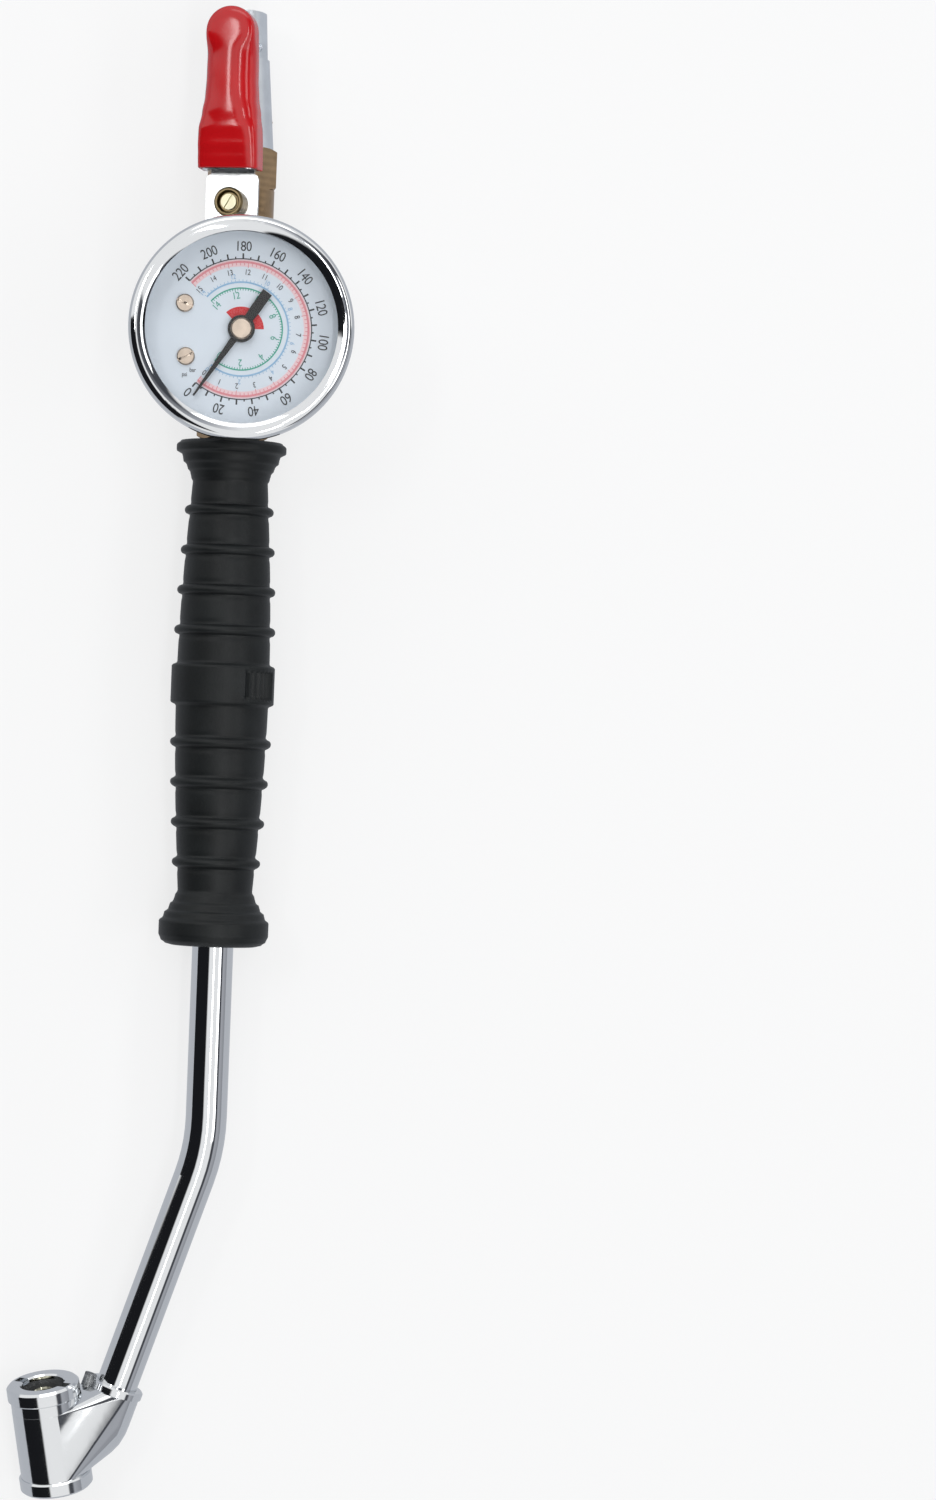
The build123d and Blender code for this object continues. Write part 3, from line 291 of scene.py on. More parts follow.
def drawn_wire():
    # Spring wire as drawn: grey, with dull streaks.
    material, tree, place = new_material("drawn_spring_wire")
    streaks = noise(tree, place, 1.2 * MM)
    tone = ramp(tree, streaks, [(0.3, hex_colour("#6E7072")), (0.7, hex_colour("#A6A8AA"))])
    shade(tree, {"Metallic": 1.0},
          {"Base Color": tone, "Roughness": spread(tree, streaks, 0.25, 0.45)})
    return material


def dial_enamel():
    # Stove enamel on tinplate: smooth, pale and faintly uneven.
    material, tree, place = new_material("pale_dial_enamel")
    cloud = noise(tree, place, 12 * MM, 2.0)
    value = colours().enamel
    tone = ramp(tree, cloud, [(0.2, darker(value, 0.94)), (0.8, value)])
    orange_peel = noise(tree, place, 0.8 * MM, 1.0)
    shade(tree, {"IOR": 1.5, "Roughness": 0.35},
          {"Base Color": tone, "Normal": bump(tree, orange_peel, 0.01 * MM, 0.3)})
    return material


def printed_ink(name, value):
    # Screen-printed ink: flat colour that thins a little at random.
    material, tree, place = new_material(name)
    thin = noise(tree, place, 0.6 * MM, 2.0)
    pale = [c + (1 - c) * 0.12 for c in value[:3]]
    tone = ramp(tree, thin, [(0.45, value), (0.9, (*pale, 1.0))])
    shade(tree, {"IOR": 1.5, "Roughness": 0.45}, {"Base Color": tone})
    return material


def pointer_lacquer():
    # Blackened aluminium stamping: matt lacquer with a slight tooth.
    material, tree, place = new_material("matt_black_lacquer")
    tooth = noise(tree, place, 0.4 * MM)
    tone = ramp(tree, tooth, [(0.3, hex_colour("#0C0D0E")), (0.8, hex_colour("#1B1D1F"))])
    shade(tree, {"IOR": 1.5, "Roughness": 0.42},
          {"Base Color": tone, "Normal": bump(tree, tooth, 0.01 * MM, 0.3)})
    return material


def window_glass():
    # Flat clear lens: thin, with a bright reflection at a slant.
    material, tree, _ = new_material("clear_flat_lens")
    clear = add(tree, "ShaderNodeBsdfTransparent", {"Color": (1, 1, 1, 1)})
    gloss = add(tree, "ShaderNodeBsdfGlossy", {"Color": (1, 1, 1, 1), "Roughness": 0.02})
    edge = add(tree, "ShaderNodeFresnel", {"IOR": 1.22})
    # The lens's inner faces would mirror all light at a slant, so they don't shine.
    inside = add(tree, "ShaderNodeNewGeometry").outputs["Backfacing"]
    outside = add(tree, "ShaderNodeMath", {0: 1.0}, {1: inside}, operation="SUBTRACT")
    share = add(tree, "ShaderNodeMath",
                links={0: edge.outputs["Fac"], 1: outside.outputs["Value"]},
                operation="MULTIPLY")
    mixed = add(tree, "ShaderNodeMixShader",
                links={0: share.outputs["Value"], 1: clear.outputs["BSDF"],
                       2: gloss.outputs["BSDF"]})
    add(tree, "ShaderNodeOutputMaterial", links={"Surface": mixed.outputs["Shader"]})
    return material


def seal_rubber():
    # Cut seal rubber: dense, matt and nearly black.
    material, tree, place = new_material("moulded_seal_rubber")
    grain = noise(tree, place, 0.4 * MM, 3.0)
    tone = ramp(tree, grain, [(0.3, hex_colour("#0F1010")), (0.8, hex_colour("#232525"))])
    shade(tree, {"IOR": 1.5},
          {"Base Color": tone, "Roughness": spread(tree, grain, 0.5, 0.7),
           "Normal": bump(tree, grain, 0.03 * MM, 0.4)})
    return material


def paint(material, *names):
    """Gives CAD nodes one material."""
    for name in names:
        slots = nodes[name].data.materials
        slots.clear()
        slots.append(material)


# Mesh building

def make_piece(name, mesh, material, body):
    """Adds a piece to the scene, riding on a body."""
    piece = bpy.data.objects.new(name, mesh)
    bpy.context.scene.collection.objects.link(piece)
    mesh.materials.clear()
    mesh.materials.append(material)
    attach(piece, body)
    return piece


def smooth(mesh, angle=None):
    for polygon in mesh.polygons:
        polygon.use_smooth = True
    if angle is not None:
        mesh.set_sharp_from_angle(angle=math.radians(angle))


def middle(node):
    low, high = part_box(node)
    return (low + high) / 2


def dial_middle():
    """The dial's centre, on the dial plate's front face."""
    low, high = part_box("dial_plate")
    place = middle("bezel_ring")
    return Vector((place.x, place.y, high.z))


def polar(radius, angle):
    return Vector((radius * math.cos(angle), radius * math.sin(angle), 0.0))


# The font's capital height for a size of 1, and how far its figures are narrowed.
CAPITAL_HEIGHT = 0.7
LETTER_WIDTH = 0.84
LETTER_SPACING = 0.94


def words_mesh(name, words):
    """One flat mesh from (text, height, matrix) entries, each centred on its place."""
    whole = bmesh.new()
    for text, height, matrix in words:
        curve = bpy.data.curves.new(name, "FONT")
        curve.body = text
        curve.align_x = "CENTER"
        curve.align_y = "CENTER"
        curve.size = height / CAPITAL_HEIGHT
        curve.space_character = LETTER_SPACING
        curve.resolution_u = 3
        curve.fill_mode = "FRONT"
        carrier = bpy.data.objects.new(name, curve)
        mesh = bpy.data.meshes.new_from_object(carrier)
        mesh.transform(matrix @ Matrix.Diagonal((LETTER_WIDTH, 1, 1, 1)))
        whole.from_mesh(mesh)
        bpy.data.objects.remove(carrier)
        bpy.data.curves.remove(curve)
        bpy.data.meshes.remove(mesh)
    mesh = bpy.data.meshes.new(name)
    whole.to_mesh(mesh)
    whole.free()
    return mesh


# The outer scale's first mark, counted from +X, and its travel.
SCALE_START, SCALE_SWEEP = math.radians(231.9), math.radians(267.3)


def scale_angle(share):
    """The angle of the outer scale at a share of its travel."""
    return SCALE_START + SCALE_SWEEP * share


def round_the_dial(texts, radius, height, lift, first=0.0, last=1.0):
    """Places texts along the scale with their tops outward."""
    words = []
    count = len(texts) - 1
    for index, text in enumerate(texts):
        angle = scale_angle(first + (last - first) * index / count)
        place = dial_middle() + polar(radius, angle) + Vector((0, 0, lift))
        turn = Matrix.Rotation(angle - math.pi / 2, 4, "Z")
        words.append((text, height, Matrix.Translation(place) @ turn))
    return words


def strip_mesh(name, rings, closed_rings=False, closed_strip=False):
    """Joins rows of points, all of one length, into a sheet of quads."""
    points = [point for ring in rings for point in ring]
    count = len(rings[0])
    faces = []
    last_row = len(rings) if closed_strip else len(rings) - 1
    last_point = count if closed_rings else count - 1
    for row in range(last_row):
        below = ((row + 1) % len(rings)) * count
        for index in range(last_point):
            after = (index + 1) % count
            faces.append((row * count + index, row * count + after,
                          below + after, below + index))
    mesh = bpy.data.meshes.new(name)
    mesh.from_pydata([tuple(point) for point in points], [], faces)
    mesh.update()
    return mesh


def outward(mesh):
    """Turns every face to the outside."""
    whole = bmesh.new()
    whole.from_mesh(mesh)
    bmesh.ops.remove_doubles(whole, verts=whole.verts, dist=0.001 * MM)
    bmesh.ops.recalc_face_normals(whole, faces=whole.faces)
    whole.to_mesh(mesh)
    whole.free()
    return mesh


def finished(piece):
    """Bakes a piece's modifiers into its mesh and smooths it."""
    bpy.context.view_layer.update()
    graph = bpy.context.evaluated_depsgraph_get()
    mesh = bpy.data.meshes.new_from_object(piece.evaluated_get(graph))
    piece.modifiers.clear()
    piece.data = mesh
    smooth(mesh)


def turned_mesh(name, profile, count, place):
    """A mesh turned about +Z from (radius, height) points, standing at a place."""
    rings = []
    for radius, height in profile:
        rings.append([place + polar(max(radius, 1e-6), 2 * math.pi * step / count)
                      + Vector((0, 0, height)) for step in range(count)])
    return outward(strip_mesh(name, rings, closed_rings=True))


def ease(value):
    value = min(max(value, 0.0), 1.0)
    return value * value * (3 - 2 * value)


def between(value, stations):
    """Smoothly interpolates (position, value) pairs."""
    for (low, start), (high, end) in zip(stations, stations[1:]):
        if value <= high:
            return start + (end - start) * ease((value - low) / (high - low))
    return stations[-1][1]


# The grip, in millimetres from its top end

GRIP_BEADS = (21.3, 33.65, 46.0, 58.35, 93.0, 105.35, 117.7, 130.05)
BEAD_HALF, BEAD_RISE = 1.5, 1.55
GROOVE_DEPTH, GROOVE_REACH, GROOVE_WIDTH = 0.16, 2.2, 0.8
GRIP_BAND = (68.9, 81.2)
BAND_RADIUS = 15.95
WAIST_RADIUS, SWELL, SWELL_REACH = 11.5, 2.8, 63.8
UPPER_FLANGE = ((0.0, 15.6), (1.3, 16.95), (3.0, 16.95), (4.3, 15.1), (5.2, 14.9),
                (6.4, 14.7), (7.2, 13.7), (8.6, 13.3), (9.6, 12.5), (11.4, 12.1),
                (12.8, 11.45))
LOWER_FLANGE = ((0.0, 13.0), (0.5, 14.9), (1.6, 16.3), (3.4, 16.95), (7.4, 16.95),
                (8.6, 15.7), (10.0, 15.4), (11.0, 14.2), (12.6, 13.8), (13.6, 12.7),
                (15.2, 12.3), (16.8, 11.5))
BORE_RADIUS = 6.42
# The band's serrations: first angle and pitch in degrees, count, half width, depth, margin.
SERRATION_START, SERRATION_PITCH, SERRATIONS = 28.0, 7.0, 7
SERRATION_HALF, SERRATION_DEPTH, SERRATION_MARGIN = 2.3, 0.75, 1.6


def grip_radius(down, length):
    """The grip's radius at a distance from its top end."""
    middle_down = sum(GRIP_BAND) / 2
    share = min(abs(down - middle_down) / SWELL_REACH, 1.0)
    radius = WAIST_RADIUS + SWELL * math.cos(share * math.pi / 2)
    for bead in GRIP_BEADS:
        off = abs(down - bead) / BEAD_HALF
        if off < 1:
            radius += BEAD_RISE * math.sqrt(1 - off * off)
        beside = (abs(down - bead) - GROOVE_REACH) / GROOVE_WIDTH
        radius -= GROOVE_DEPTH * math.exp(-beside ** 2)
    low, high = GRIP_BAND
    band = ease((down - low + 0.5) / 1.0) * ease((high + 0.5 - down) / 1.0)
    radius += (BAND_RADIUS - radius) * band
    if down < UPPER_FLANGE[-1][0]:
        radius = between(down, UPPER_FLANGE)
    if length - down < LOWER_FLANGE[-1][0]:
        radius = between(length - down, LOWER_FLANGE)
    return radius


def grip_mesh():
    low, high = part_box("handle_grip")
    axis = (low + high) / 2
    length = (high.y - low.y) / MM
    count = 200
    steps = 340
    rings = []
    for row in range(steps + 1):
        down = length * row / steps
        radius = grip_radius(down, length)
        inside = (ease((down - GRIP_BAND[0] - SERRATION_MARGIN) / 0.6)
                  * ease((GRIP_BAND[1] - SERRATION_MARGIN - down) / 0.6))
        ring = []
        for step in range(count):
            angle = 360 * step / count
            past = angle - SERRATION_START
            near = round(past / SERRATION_PITCH)
            depth = 0.0
            if 0 <= near < SERRATIONS:
                off = abs(past - near * SERRATION_PITCH) / SERRATION_HALF
                depth = SERRATION_DEPTH * inside * max(0.0, 1 - off * off)
            turn = math.radians(angle)
            reach = (radius - depth) * MM
            ring.append(Vector((axis.x + reach * math.sin(turn), high.y - down * MM,
                                axis.z + reach * math.cos(turn))))
        rings.append(ring)
    bore = BORE_RADIUS * MM
    for y in (low.y, high.y):
        rings.append([Vector((axis.x + bore * math.sin(2 * math.pi * step / count), y,
                              axis.z + bore * math.cos(2 * math.pi * step / count)))
                      for step in range(count)])
    return outward(strip_mesh("rubber_grip", rings, closed_rings=True, closed_strip=True))


# The vinyl cover, in millimetres in the trigger's own frame

HEAD_TURN = math.radians(-15.5)
COVER_HALF = ((50.0, 9.45), (57.0, 9.45), (62.0, 9.3), (67.0, 8.75), (72.0, 8.1), (78.0, 7.8),
              (88.0, 7.7), (100.0, 7.65))
COVER_FRONT = ((50.0, 19.25), (54.0, 20.0), (58.0, 20.75), (63.0, 21.5), (68.0, 21.85),
               (80.0, 21.9), (100.0, 21.75))
COVER_BACK = ((50.0, 10.55), (60.0, 11.2), (66.0, 12.1), (76.0, 13.2), (99.5, 14.9))
COVER_SQUARE = ((50.0, 5.0), (58.0, 4.4), (66.0, 2.7), (74.0, 2.2), (86.0, 2.2), (91.5, 3.4))
COVER_DEPTH = ((50.0, 4.4), (62.0, 4.4), (68.0, 6.2), (84.0, 6.0), (91.5, 3.2))
COVER_BOTTOM, COVER_TOP, COVER_WALL = 50.05, 99.5, 1.15
NOSE_START = 95.0
STRAIGHT_SHARE = 0.3  # of a skin line, from the back edge to where it starts to turn


def tool_axis():
    low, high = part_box("handle_grip")
    return Vector(((low.x + high.x) / 2, dial_middle().y, (low.z + high.z) / 2))


def in_head(axis, x, y, z):
    """A point of the trigger's frame, in millimetres, as a place in the model."""
    turned = Matrix.Rotation(HEAD_TURN, 3, "Y") @ Vector((x, 0, z))
    return axis + Vector((turned.x, y, turned.z)) * MM


def cover_point(centre_y, away, share):
    """A point of the cover's skin, from its back edge at 0 to its front ridge at 1."""
    y = centre_y + away.y
    front = between(centre_y, COVER_FRONT)
    back = between(y, COVER_BACK)
    power = between(centre_y, COVER_SQUARE)
    depth = between(centre_y, COVER_DEPTH)
    knee = front - depth
    if share < STRAIGHT_SHARE:
        return away.x, y, back + (knee - back) * share / STRAIGHT_SHARE
    turn = (share - STRAIGHT_SHARE) / (1 - STRAIGHT_SHARE) * math.pi / 2
    out = math.cos(turn) ** (2 / power)
    rise = math.sin(turn) ** (2 / power)
    return away.x * out, centre_y + away.y * out, knee + depth * rise


def cover_mesh():
    side_steps, nose_steps, skin_steps = 56, 40, 30
    nose = between(NOSE_START, COVER_HALF)
    centre = COVER_TOP - nose
    sides = [COVER_BOTTOM + (centre - COVER_BOTTOM) * step / side_steps
             for step in range(side_steps)]
    outline = [(y, Vector((-between(y, COVER_HALF), 0))) for y in sides]
    for step in range(nose_steps + 1):
        angle = math.pi - math.pi * step / nose_steps
        outline.append((centre, Vector((math.cos(angle), math.sin(angle))) * nose))
    outline += [(y, Vector((between(y, COVER_HALF), 0))) for y in reversed(sides)]
    axis = tool_axis()
    rings = []
    for centre_y, away in outline:
        rings.append([in_head(axis, *cover_point(centre_y, away, step / skin_steps))
                      for step in range(skin_steps + 1)])
    return outward(strip_mesh("vinyl_cover", rings))


def add_cover(material):
    piece = make_piece("vinyl_cover", cover_mesh(), material, "trigger")
    wall = piece.modifiers.new("wall", "SOLIDIFY")
    wall.thickness = COVER_WALL * MM
    wall.offset = -1.0
    wall.use_rim = True
    soften = piece.modifiers.new("soften", "SUBSURF")
    soften.levels = 1
    soften.render_levels = 1
    finished(piece)
    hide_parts("trigger_vinyl")


# The chuck's skin, in millimetres from the middle of its barrel

SOCKET_PLACE = Vector((20.09, 15.69, -3.05))
SOCKET_AXIS = Vector((0.3111, 0.9478, 0.0704))
BARREL_RADIUS, BARREL_TOP, BARREL_BOTTOM = 10.54, 9.0, -12.3
SOCKET_PROFILE = ((8.04, -2.2), (8.04, -11.0), (7.9, -14.0), (7.2, -17.5), (5.9, -20.5),
                  (4.4, -22.8), (2.4, -24.6))
SKIN_WALL = 0.5


def ring_round(place, axis, radius, count=96):
    across = axis.orthogonal().normalized()
    other = axis.cross(across)
    return [place + (across * math.cos(2 * math.pi * step / count)
                     + other * math.sin(2 * math.pi * step / count)) * radius
            for step in range(count)]


def chuck_skin_mesh():
    """A taut skin from the barrel over to the tube's socket, open at its ends."""
    top, bottom = (Vector(mount["pos_m"]) for mount in record["mounts"]
                   if mount["name"].startswith("tyre_valve"))
    middle_place = (top + bottom) / 2
    axis = (top - bottom).normalized()
    rings = [ring_round(middle_place + axis * (height * MM), axis, BARREL_RADIUS * MM)
             for height in (BARREL_TOP, BARREL_BOTTOM)]
    socket = middle_place + SOCKET_PLACE * MM
    along = SOCKET_AXIS.normalized()
    rings += [ring_round(socket + along * (height * MM), along, radius * MM)
              for radius, height in SOCKET_PROFILE]
    whole = bmesh.new()
    for point in sum(rings, []):
        whole.verts.new(point)
    bmesh.ops.convex_hull(whole, input=whole.verts)
    loose = [vert for vert in whole.verts if not vert.link_faces]
    bmesh.ops.delete(whole, geom=loose, context="VERTS")

    def at_end(face):
        ends = ((middle_place + axis * (BARREL_BOTTOM * MM), axis),
                (socket + along * (SOCKET_PROFILE[0][1] * MM), along))
        return any(all(abs((vert.co - place).dot(way)) < 0.01 * MM for vert in face.verts)
                   for place, way in ends)

    bmesh.ops.delete(whole, geom=[face for face in whole.faces if at_end(face)],
                     context="FACES_ONLY")
    mesh = bpy.data.meshes.new("chuck_skin")
    whole.to_mesh(mesh)
    whole.free()
    return outward(mesh)


def add_chuck_skin(material):
    piece = make_piece("chuck_skin", chuck_skin_mesh(), material, "frame")
    wall = piece.modifiers.new("wall", "SOLIDIFY")
    wall.thickness = SKIN_WALL * MM
    wall.offset = -1.0
    finished(piece)
    smooth(piece.data, 24)


# The dial's print and screw heads

PRINT_LIFT, NUMBER_LIFT = 0.01 * MM, 0.12 * MM
HEAD_RADIUS, HEAD_HEIGHT, HEAD_SLOT = 2.7, 1.0, 0.75


def arc_mesh(name, inner, outer, lift, first=0.0, last=1.0):
    steps = 160
    place = dial_middle() + Vector((0, 0, lift))
    rows = []
    for radius in (inner, outer):
        rows.append([place + polar(radius, scale_angle(first + (last - first) * step / steps))
                     for step in range(steps + 1)])
    return strip_mesh(name, rows)


def ticks_mesh(name, marks, lift):
    """Radial marks from (share of the scale, inner radius, outer radius, width)."""
    whole = bmesh.new()
    place = dial_middle() + Vector((0, 0, lift))
    for share, inner, outer, width in marks:
        angle = scale_angle(share)
        along = polar(1.0, angle)
        across = polar(1.0, angle + math.pi / 2) * width / 2
        corners = [place + along * inner - across, place + along * outer - across,
                   place + along * outer + across, place + along * inner + across]
        whole.faces.new([whole.verts.new(corner) for corner in corners])
    mesh = bpy.data.meshes.new(name)
    whole.to_mesh(mesh)
    whole.free()
    return mesh


def even_ticks(count, inner, outer, width, long_every=0, longer=0.0):
    marks = []
    for index in range(count + 1):
        extra = longer if long_every and index % long_every == 0 else 0.0
        marks.append((index / count, (inner - extra) * MM, outer * MM, width * MM))
    return marks


# A soft dome, as shares of its radius and height.
DOME = ((0.0, 1.0), (0.35, 0.97), (0.6, 0.86), (0.82, 0.66), (0.95, 0.42), (1.0, 0.2),
        (1.0, 0.0), (0.0, 0.0))


def domed_head(name, place, radius, height, slot_width, slot_turn, material, body):
    """A screw head turned with a soft dome, then slotted."""
    profile = [(radius * across, height * up) for across, up in DOME]
    mesh = turned_mesh(name, profile, 48, place)
    piece = make_piece(name, mesh, material, body)
    if slot_width > 0:
        cutter_mesh = bpy.data.meshes.new(name + "_cutter")
        whole = bmesh.new()
        bmesh.ops.create_cube(whole, size=1.0)
        shape = (Matrix.Translation(place + Vector((0, 0, height)))
                 @ Matrix.Rotation(slot_turn, 4, "Z")
                 @ Matrix.Diagonal((radius * 2.4, slot_width, height, 1)))
        bmesh.ops.transform(whole, matrix=shape, verts=whole.verts)
        whole.to_mesh(cutter_mesh)
        whole.free()
        cutter = bpy.data.objects.new(name + "_cutter", cutter_mesh)
        bpy.context.scene.collection.objects.link(cutter)
        cut = piece.modifiers.new("slot", "BOOLEAN")
        cut.object = cutter
        finished(piece)
        bpy.data.objects.remove(cutter)
    smooth(piece.data, 32)
    return piece


class INFLATOR_OT_chrome(bpy.types.Operator):
    """Plates the tube, the chuck and the gauge's rings"""
    bl_idname = "inflator.chrome"
    bl_label = "Chrome pieces"

    def execute(self, context):
        paint(chrome_plate(), "bent_tube", "bezel_ring", "gauge_case")
        cast = cast_chrome()
        paint(cast, "chuck_body", "head_casting", "foot_ring_top", "foot_ring_bottom")
        add_chuck_skin(cast)
        return {"FINISHED"}


class INFLATOR_OT_grip(bpy.types.Operator):
    """Moulds the ribbed rubber grip"""
    bl_idname = "inflator.grip"
    bl_label = "Rubber grip"

    def execute(self, context):
        rubber = moulded_rubber()
        mesh = grip_mesh()
        smooth(mesh, 50)
        piece = make_piece("rubber_grip", mesh, rubber, "frame")
        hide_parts("handle_grip")
        paint(rubber, "handle_grip")
        return {"FINISHED"}


class INFLATOR_OT_trigger(bpy.types.Operator):
    """Dips the trigger's steel in red vinyl"""
    bl_idname = "inflator.trigger"
    bl_label = "Trigger"

    def execute(self, context):
        paint(zinc_plated_steel(), "trigger_lever", "trigger_bracket", "pivot_pin")
        vinyl = dipped_vinyl()
        paint(vinyl, "trigger_vinyl")
        add_cover(vinyl)
        return {"FINISHED"}


class INFLATOR_OT_valves(bpy.types.Operator):
    """Finishes the valve body, the inlet handle and the bleed valve"""
    bl_idname = "inflator.valves"
    bl_label = "Valves and handle"

    def execute(self, context):
        brass = turned_brass("turned_brass", colours().brass, "Y")
        paint(turned_brass("dull_turned_brass", colours().dull_brass, "Z"), "bleed_bush")
        paint(brass, "tube_nut", "valve_body",
              "plunger_bush", "inlet_plunger", "poppet_cap", "gauge_stem")
        paint(turned_brass("pale_turned_brass", colours().pale_brass, "Z"), "bleed_button")
        paint(cast_alloy(), "inlet_handle")
        paint(seal_rubber(), "poppet_seal", "lens_gasket", "foot_seal_top",
              "foot_seal_bottom")
        paint(drawn_wire(), "inlet_spring", "bleed_spring", "chuck_spring", "passage_plug")
        paint(turned_brass("turned_valve_cores", colours().pale_brass, "Y"),
              "chuck_core_top", "chuck_core_bottom")
        return {"FINISHED"}


class INFLATOR_OT_movement(bpy.types.Operator):
    """Finishes the works behind the dial"""
    bl_idname = "inflator.movement"
    bl_label = "Movement"

    def execute(self, context):
        stamped = turned_brass("stamped_brass_movement", colours().brass, "X")
        paint(stamped, "bourdon_tube", "bourdon_tip", "movement_base_plate",
              "movement_top_plate", "movement_pillars", "sector_gear", "movement_link",
              "dial_posts")
        paint(zinc_plated_steel(), "pinion_arbor")
        return {"FINISHED"}


class INFLATOR_OT_dial(bpy.types.Operator):
    """Enamels the dial and prints its scales"""
    bl_idname = "inflator.dial"
    bl_label = "Dial and print"

    def execute(self, context):
        value = colours()
        black, pink, pale, blue, green, red = (
            printed_ink(name + "_printed_ink", ink) for name, ink in (
                ("black", value.ink_black), ("pink", value.ink_pink),
                ("pale_pink", value.ink_pale), ("blue", value.ink_blue),
                ("green", value.ink_green), ("red", value.ink_red)))
        copper = turned_brass("coppery_brass", value.copper, "Z")
        paint(dial_enamel(), "dial_plate")
        paint(black, "scale_ticks")
        paint(pink, "scale_band_pink")
        paint(blue, "scale_band_blue")
        paint(green, "scale_band_green")
        paint(red, "dial_red_sector")
        paint(copper, "dial_screws", "pointer_cap")
        paint(pointer_lacquer(), "pointer")
        paint(window_glass(), "gauge_lens")
        self.print_scales(black, pink, pale, blue, green)
        self.print_numbers(black, blue, green)
        self.add_heads(copper)
        return {"FINISHED"}

    def print_scales(self, black, pink, pale, blue, green):
        make_piece("pale_scale_band",
                   arc_mesh("pale_scale_band", 18.9 * MM, 21.0 * MM, PRINT_LIFT),
                   pale, "frame")
        rows = (
            ("pink_ticks", even_ticks(75, 19.3, 20.4, 0.22, 5, 0.7), pink, "print_pink"),
            ("blue_ticks", even_ticks(60, 14.0, 15.0, 0.18, 5, -0.6), blue, "print_blue"),
            ("green_ticks", even_ticks(70, 11.7, 12.5, 0.22, 10, 0.6), green, "print_green"),
            ("outer_dots", even_ticks(22, 21.3, 22.9, 0.5), black, "print_black"),
        )
        for name, marks, ink, slot_name in rows:
            make_piece(name, ticks_mesh(name, marks, 2 * PRINT_LIFT), ink, "frame")

    def print_numbers(self, black, blue, green):
        high, low = sizes().number_height, sizes().inner_number_height
        rows = (
            ("outer_numbers", range(0, 240, 20), 24.9, high, black, "print_black"),
            ("second_numbers", range(16), 17.2, low * 0.8, black, "print_black"),
            ("third_numbers", range(0, 16, 2), 15.9, low * 0.7, blue, "print_blue"),
            ("inner_numbers", range(0, 16, 2), 10.1, low, green, "print_green"),
        )
        for name, values, radius, height, ink, slot_name in rows:
            words = round_the_dial([str(value) for value in values], radius * MM, height,
                                   NUMBER_LIFT)
            make_piece(name, words_mesh(name, words), ink, "frame")
        units = []
        for text, x, y in (("psi", -16.6, -14.4), ("bar", -14.2, -13.0)):
            place = dial_middle() + Vector((x * MM, y * MM, NUMBER_LIFT))
            units.append((text, low * 0.62, Matrix.Translation(place)))
        make_piece("unit_words", words_mesh("unit_words", units), black, "frame")

    def add_heads(self, copper):
        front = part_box("dial_plate")[1].z
        low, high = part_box("dial_screws")
        reach = HEAD_RADIUS * MM
        for name, x, y, turn in (
                ("upper_dial_screw", low.x + reach, high.y - reach, 0.6),
                ("lower_dial_screw", high.x - reach, low.y + reach, 1.1)):
            domed_head(name, Vector((x, y, front)), reach, HEAD_HEIGHT * MM,
                       HEAD_SLOT * MM, turn, copper, "frame")
        low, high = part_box("pointer_cap")
        place = Vector(((low.x + high.x) / 2, (low.y + high.y) / 2, low.z))
        domed_head("hub_cap", place, (high.x - low.x) / 2, high.z - low.z, 0, 0, copper,
                   "pointer")


# The stage

FLOOR_HALF = 4.0
FLOOR_GLOW = 0.72


def floor_material():
    # Plain pale sweep: white to the eye, greyer in reflections, and it keeps the shadow.
    material, tree, _ = new_material("pale_studio_floor")
    path = add(tree, "ShaderNodeLightPath")
    seen = add(tree, "ShaderNodeMath", links={0: path.outputs["Is Camera Ray"],
                                              1: path.outputs["Is Transmission Ray"]},
               operation="ADD")
    matt = add(tree, "ShaderNodeBsdfDiffuse", {"Color": hex_colour("#F2F3F4")})
    glow = add(tree, "ShaderNodeEmission", {"Color": (1, 1, 1, 1), "Strength": 1.0})
    part = add(tree, "ShaderNodeMath", {1: FLOOR_GLOW}, {0: seen.outputs["Value"]},
               operation="MULTIPLY")
    mixed = add(tree, "ShaderNodeMixShader",
                links={0: part.outputs["Value"], 1: matt.outputs["BSDF"],
                       2: glow.outputs["Emission"]})
    grey = add(tree, "ShaderNodeEmission", {"Color": hex_colour("#BFC2C8"), "Strength": 1.0})
    both = add(tree, "ShaderNodeMixShader",
               links={0: path.outputs["Is Glossy Ray"], 1: mixed.outputs["Shader"],
                      2: grey.outputs["Emission"]})
    add(tree, "ShaderNodeOutputMaterial", links={"Surface": both.outputs["Shader"]})
    return material


def make_floor():
    mesh = bpy.data.meshes.new("studio_floor")
    corners = ((-1, -1), (1, -1), (1, 1), (-1, 1))
    mesh.from_pydata([(x * FLOOR_HALF, y * FLOOR_HALF, cad_box[0].z) for x, y in corners],
                     [], [(0, 1, 2, 3)])
    mesh.materials.append(floor_material())
    floor = bpy.data.objects.new("studio_floor", mesh)
    bpy.context.scene.collection.objects.link(floor)


def aim(thing, place, target, up=Vector((0, 1, 0))):
    """Turns a camera or lamp to face a target."""
    back = (place - target).normalized()
    side = up.cross(back).normalized()
    turn = Matrix((side, back.cross(side), back)).transposed().to_4x4()
    thing.matrix_world = Matrix.Translation(place) @ turn


def soft_box(name, place, target, width, height, power):
    lamp = bpy.data.lights.new(name, "AREA")
    lamp.shape = "RECTANGLE"
    lamp.size = width
    lamp.size_y = height
    lamp.energy = power
    thing = bpy.data.objects.new(name, lamp)
    bpy.context.scene.collection.objects.link(thing)
    aim(thing, Vector(place), Vector(target))


def make_lights():
    soft_box("upper_strip", (-0.62, 0.42, 1.25), (0, 0.2, 0), 0.14, 0.4, 1.4)
    soft_box("overhead_strip", (0.3, -0.1, 1.6), (0, 0, 0), 0.1, 1.5, 4)
    soft_box("right_soft_box", (1.2, 0.2, 1.2), (0, 0, 0), 0.35, 1.4, 4)
    soft_box("far_soft_box", (0.0, 1.5, 1.0), (0, 0.1, 0), 1.2, 0.5, 3)


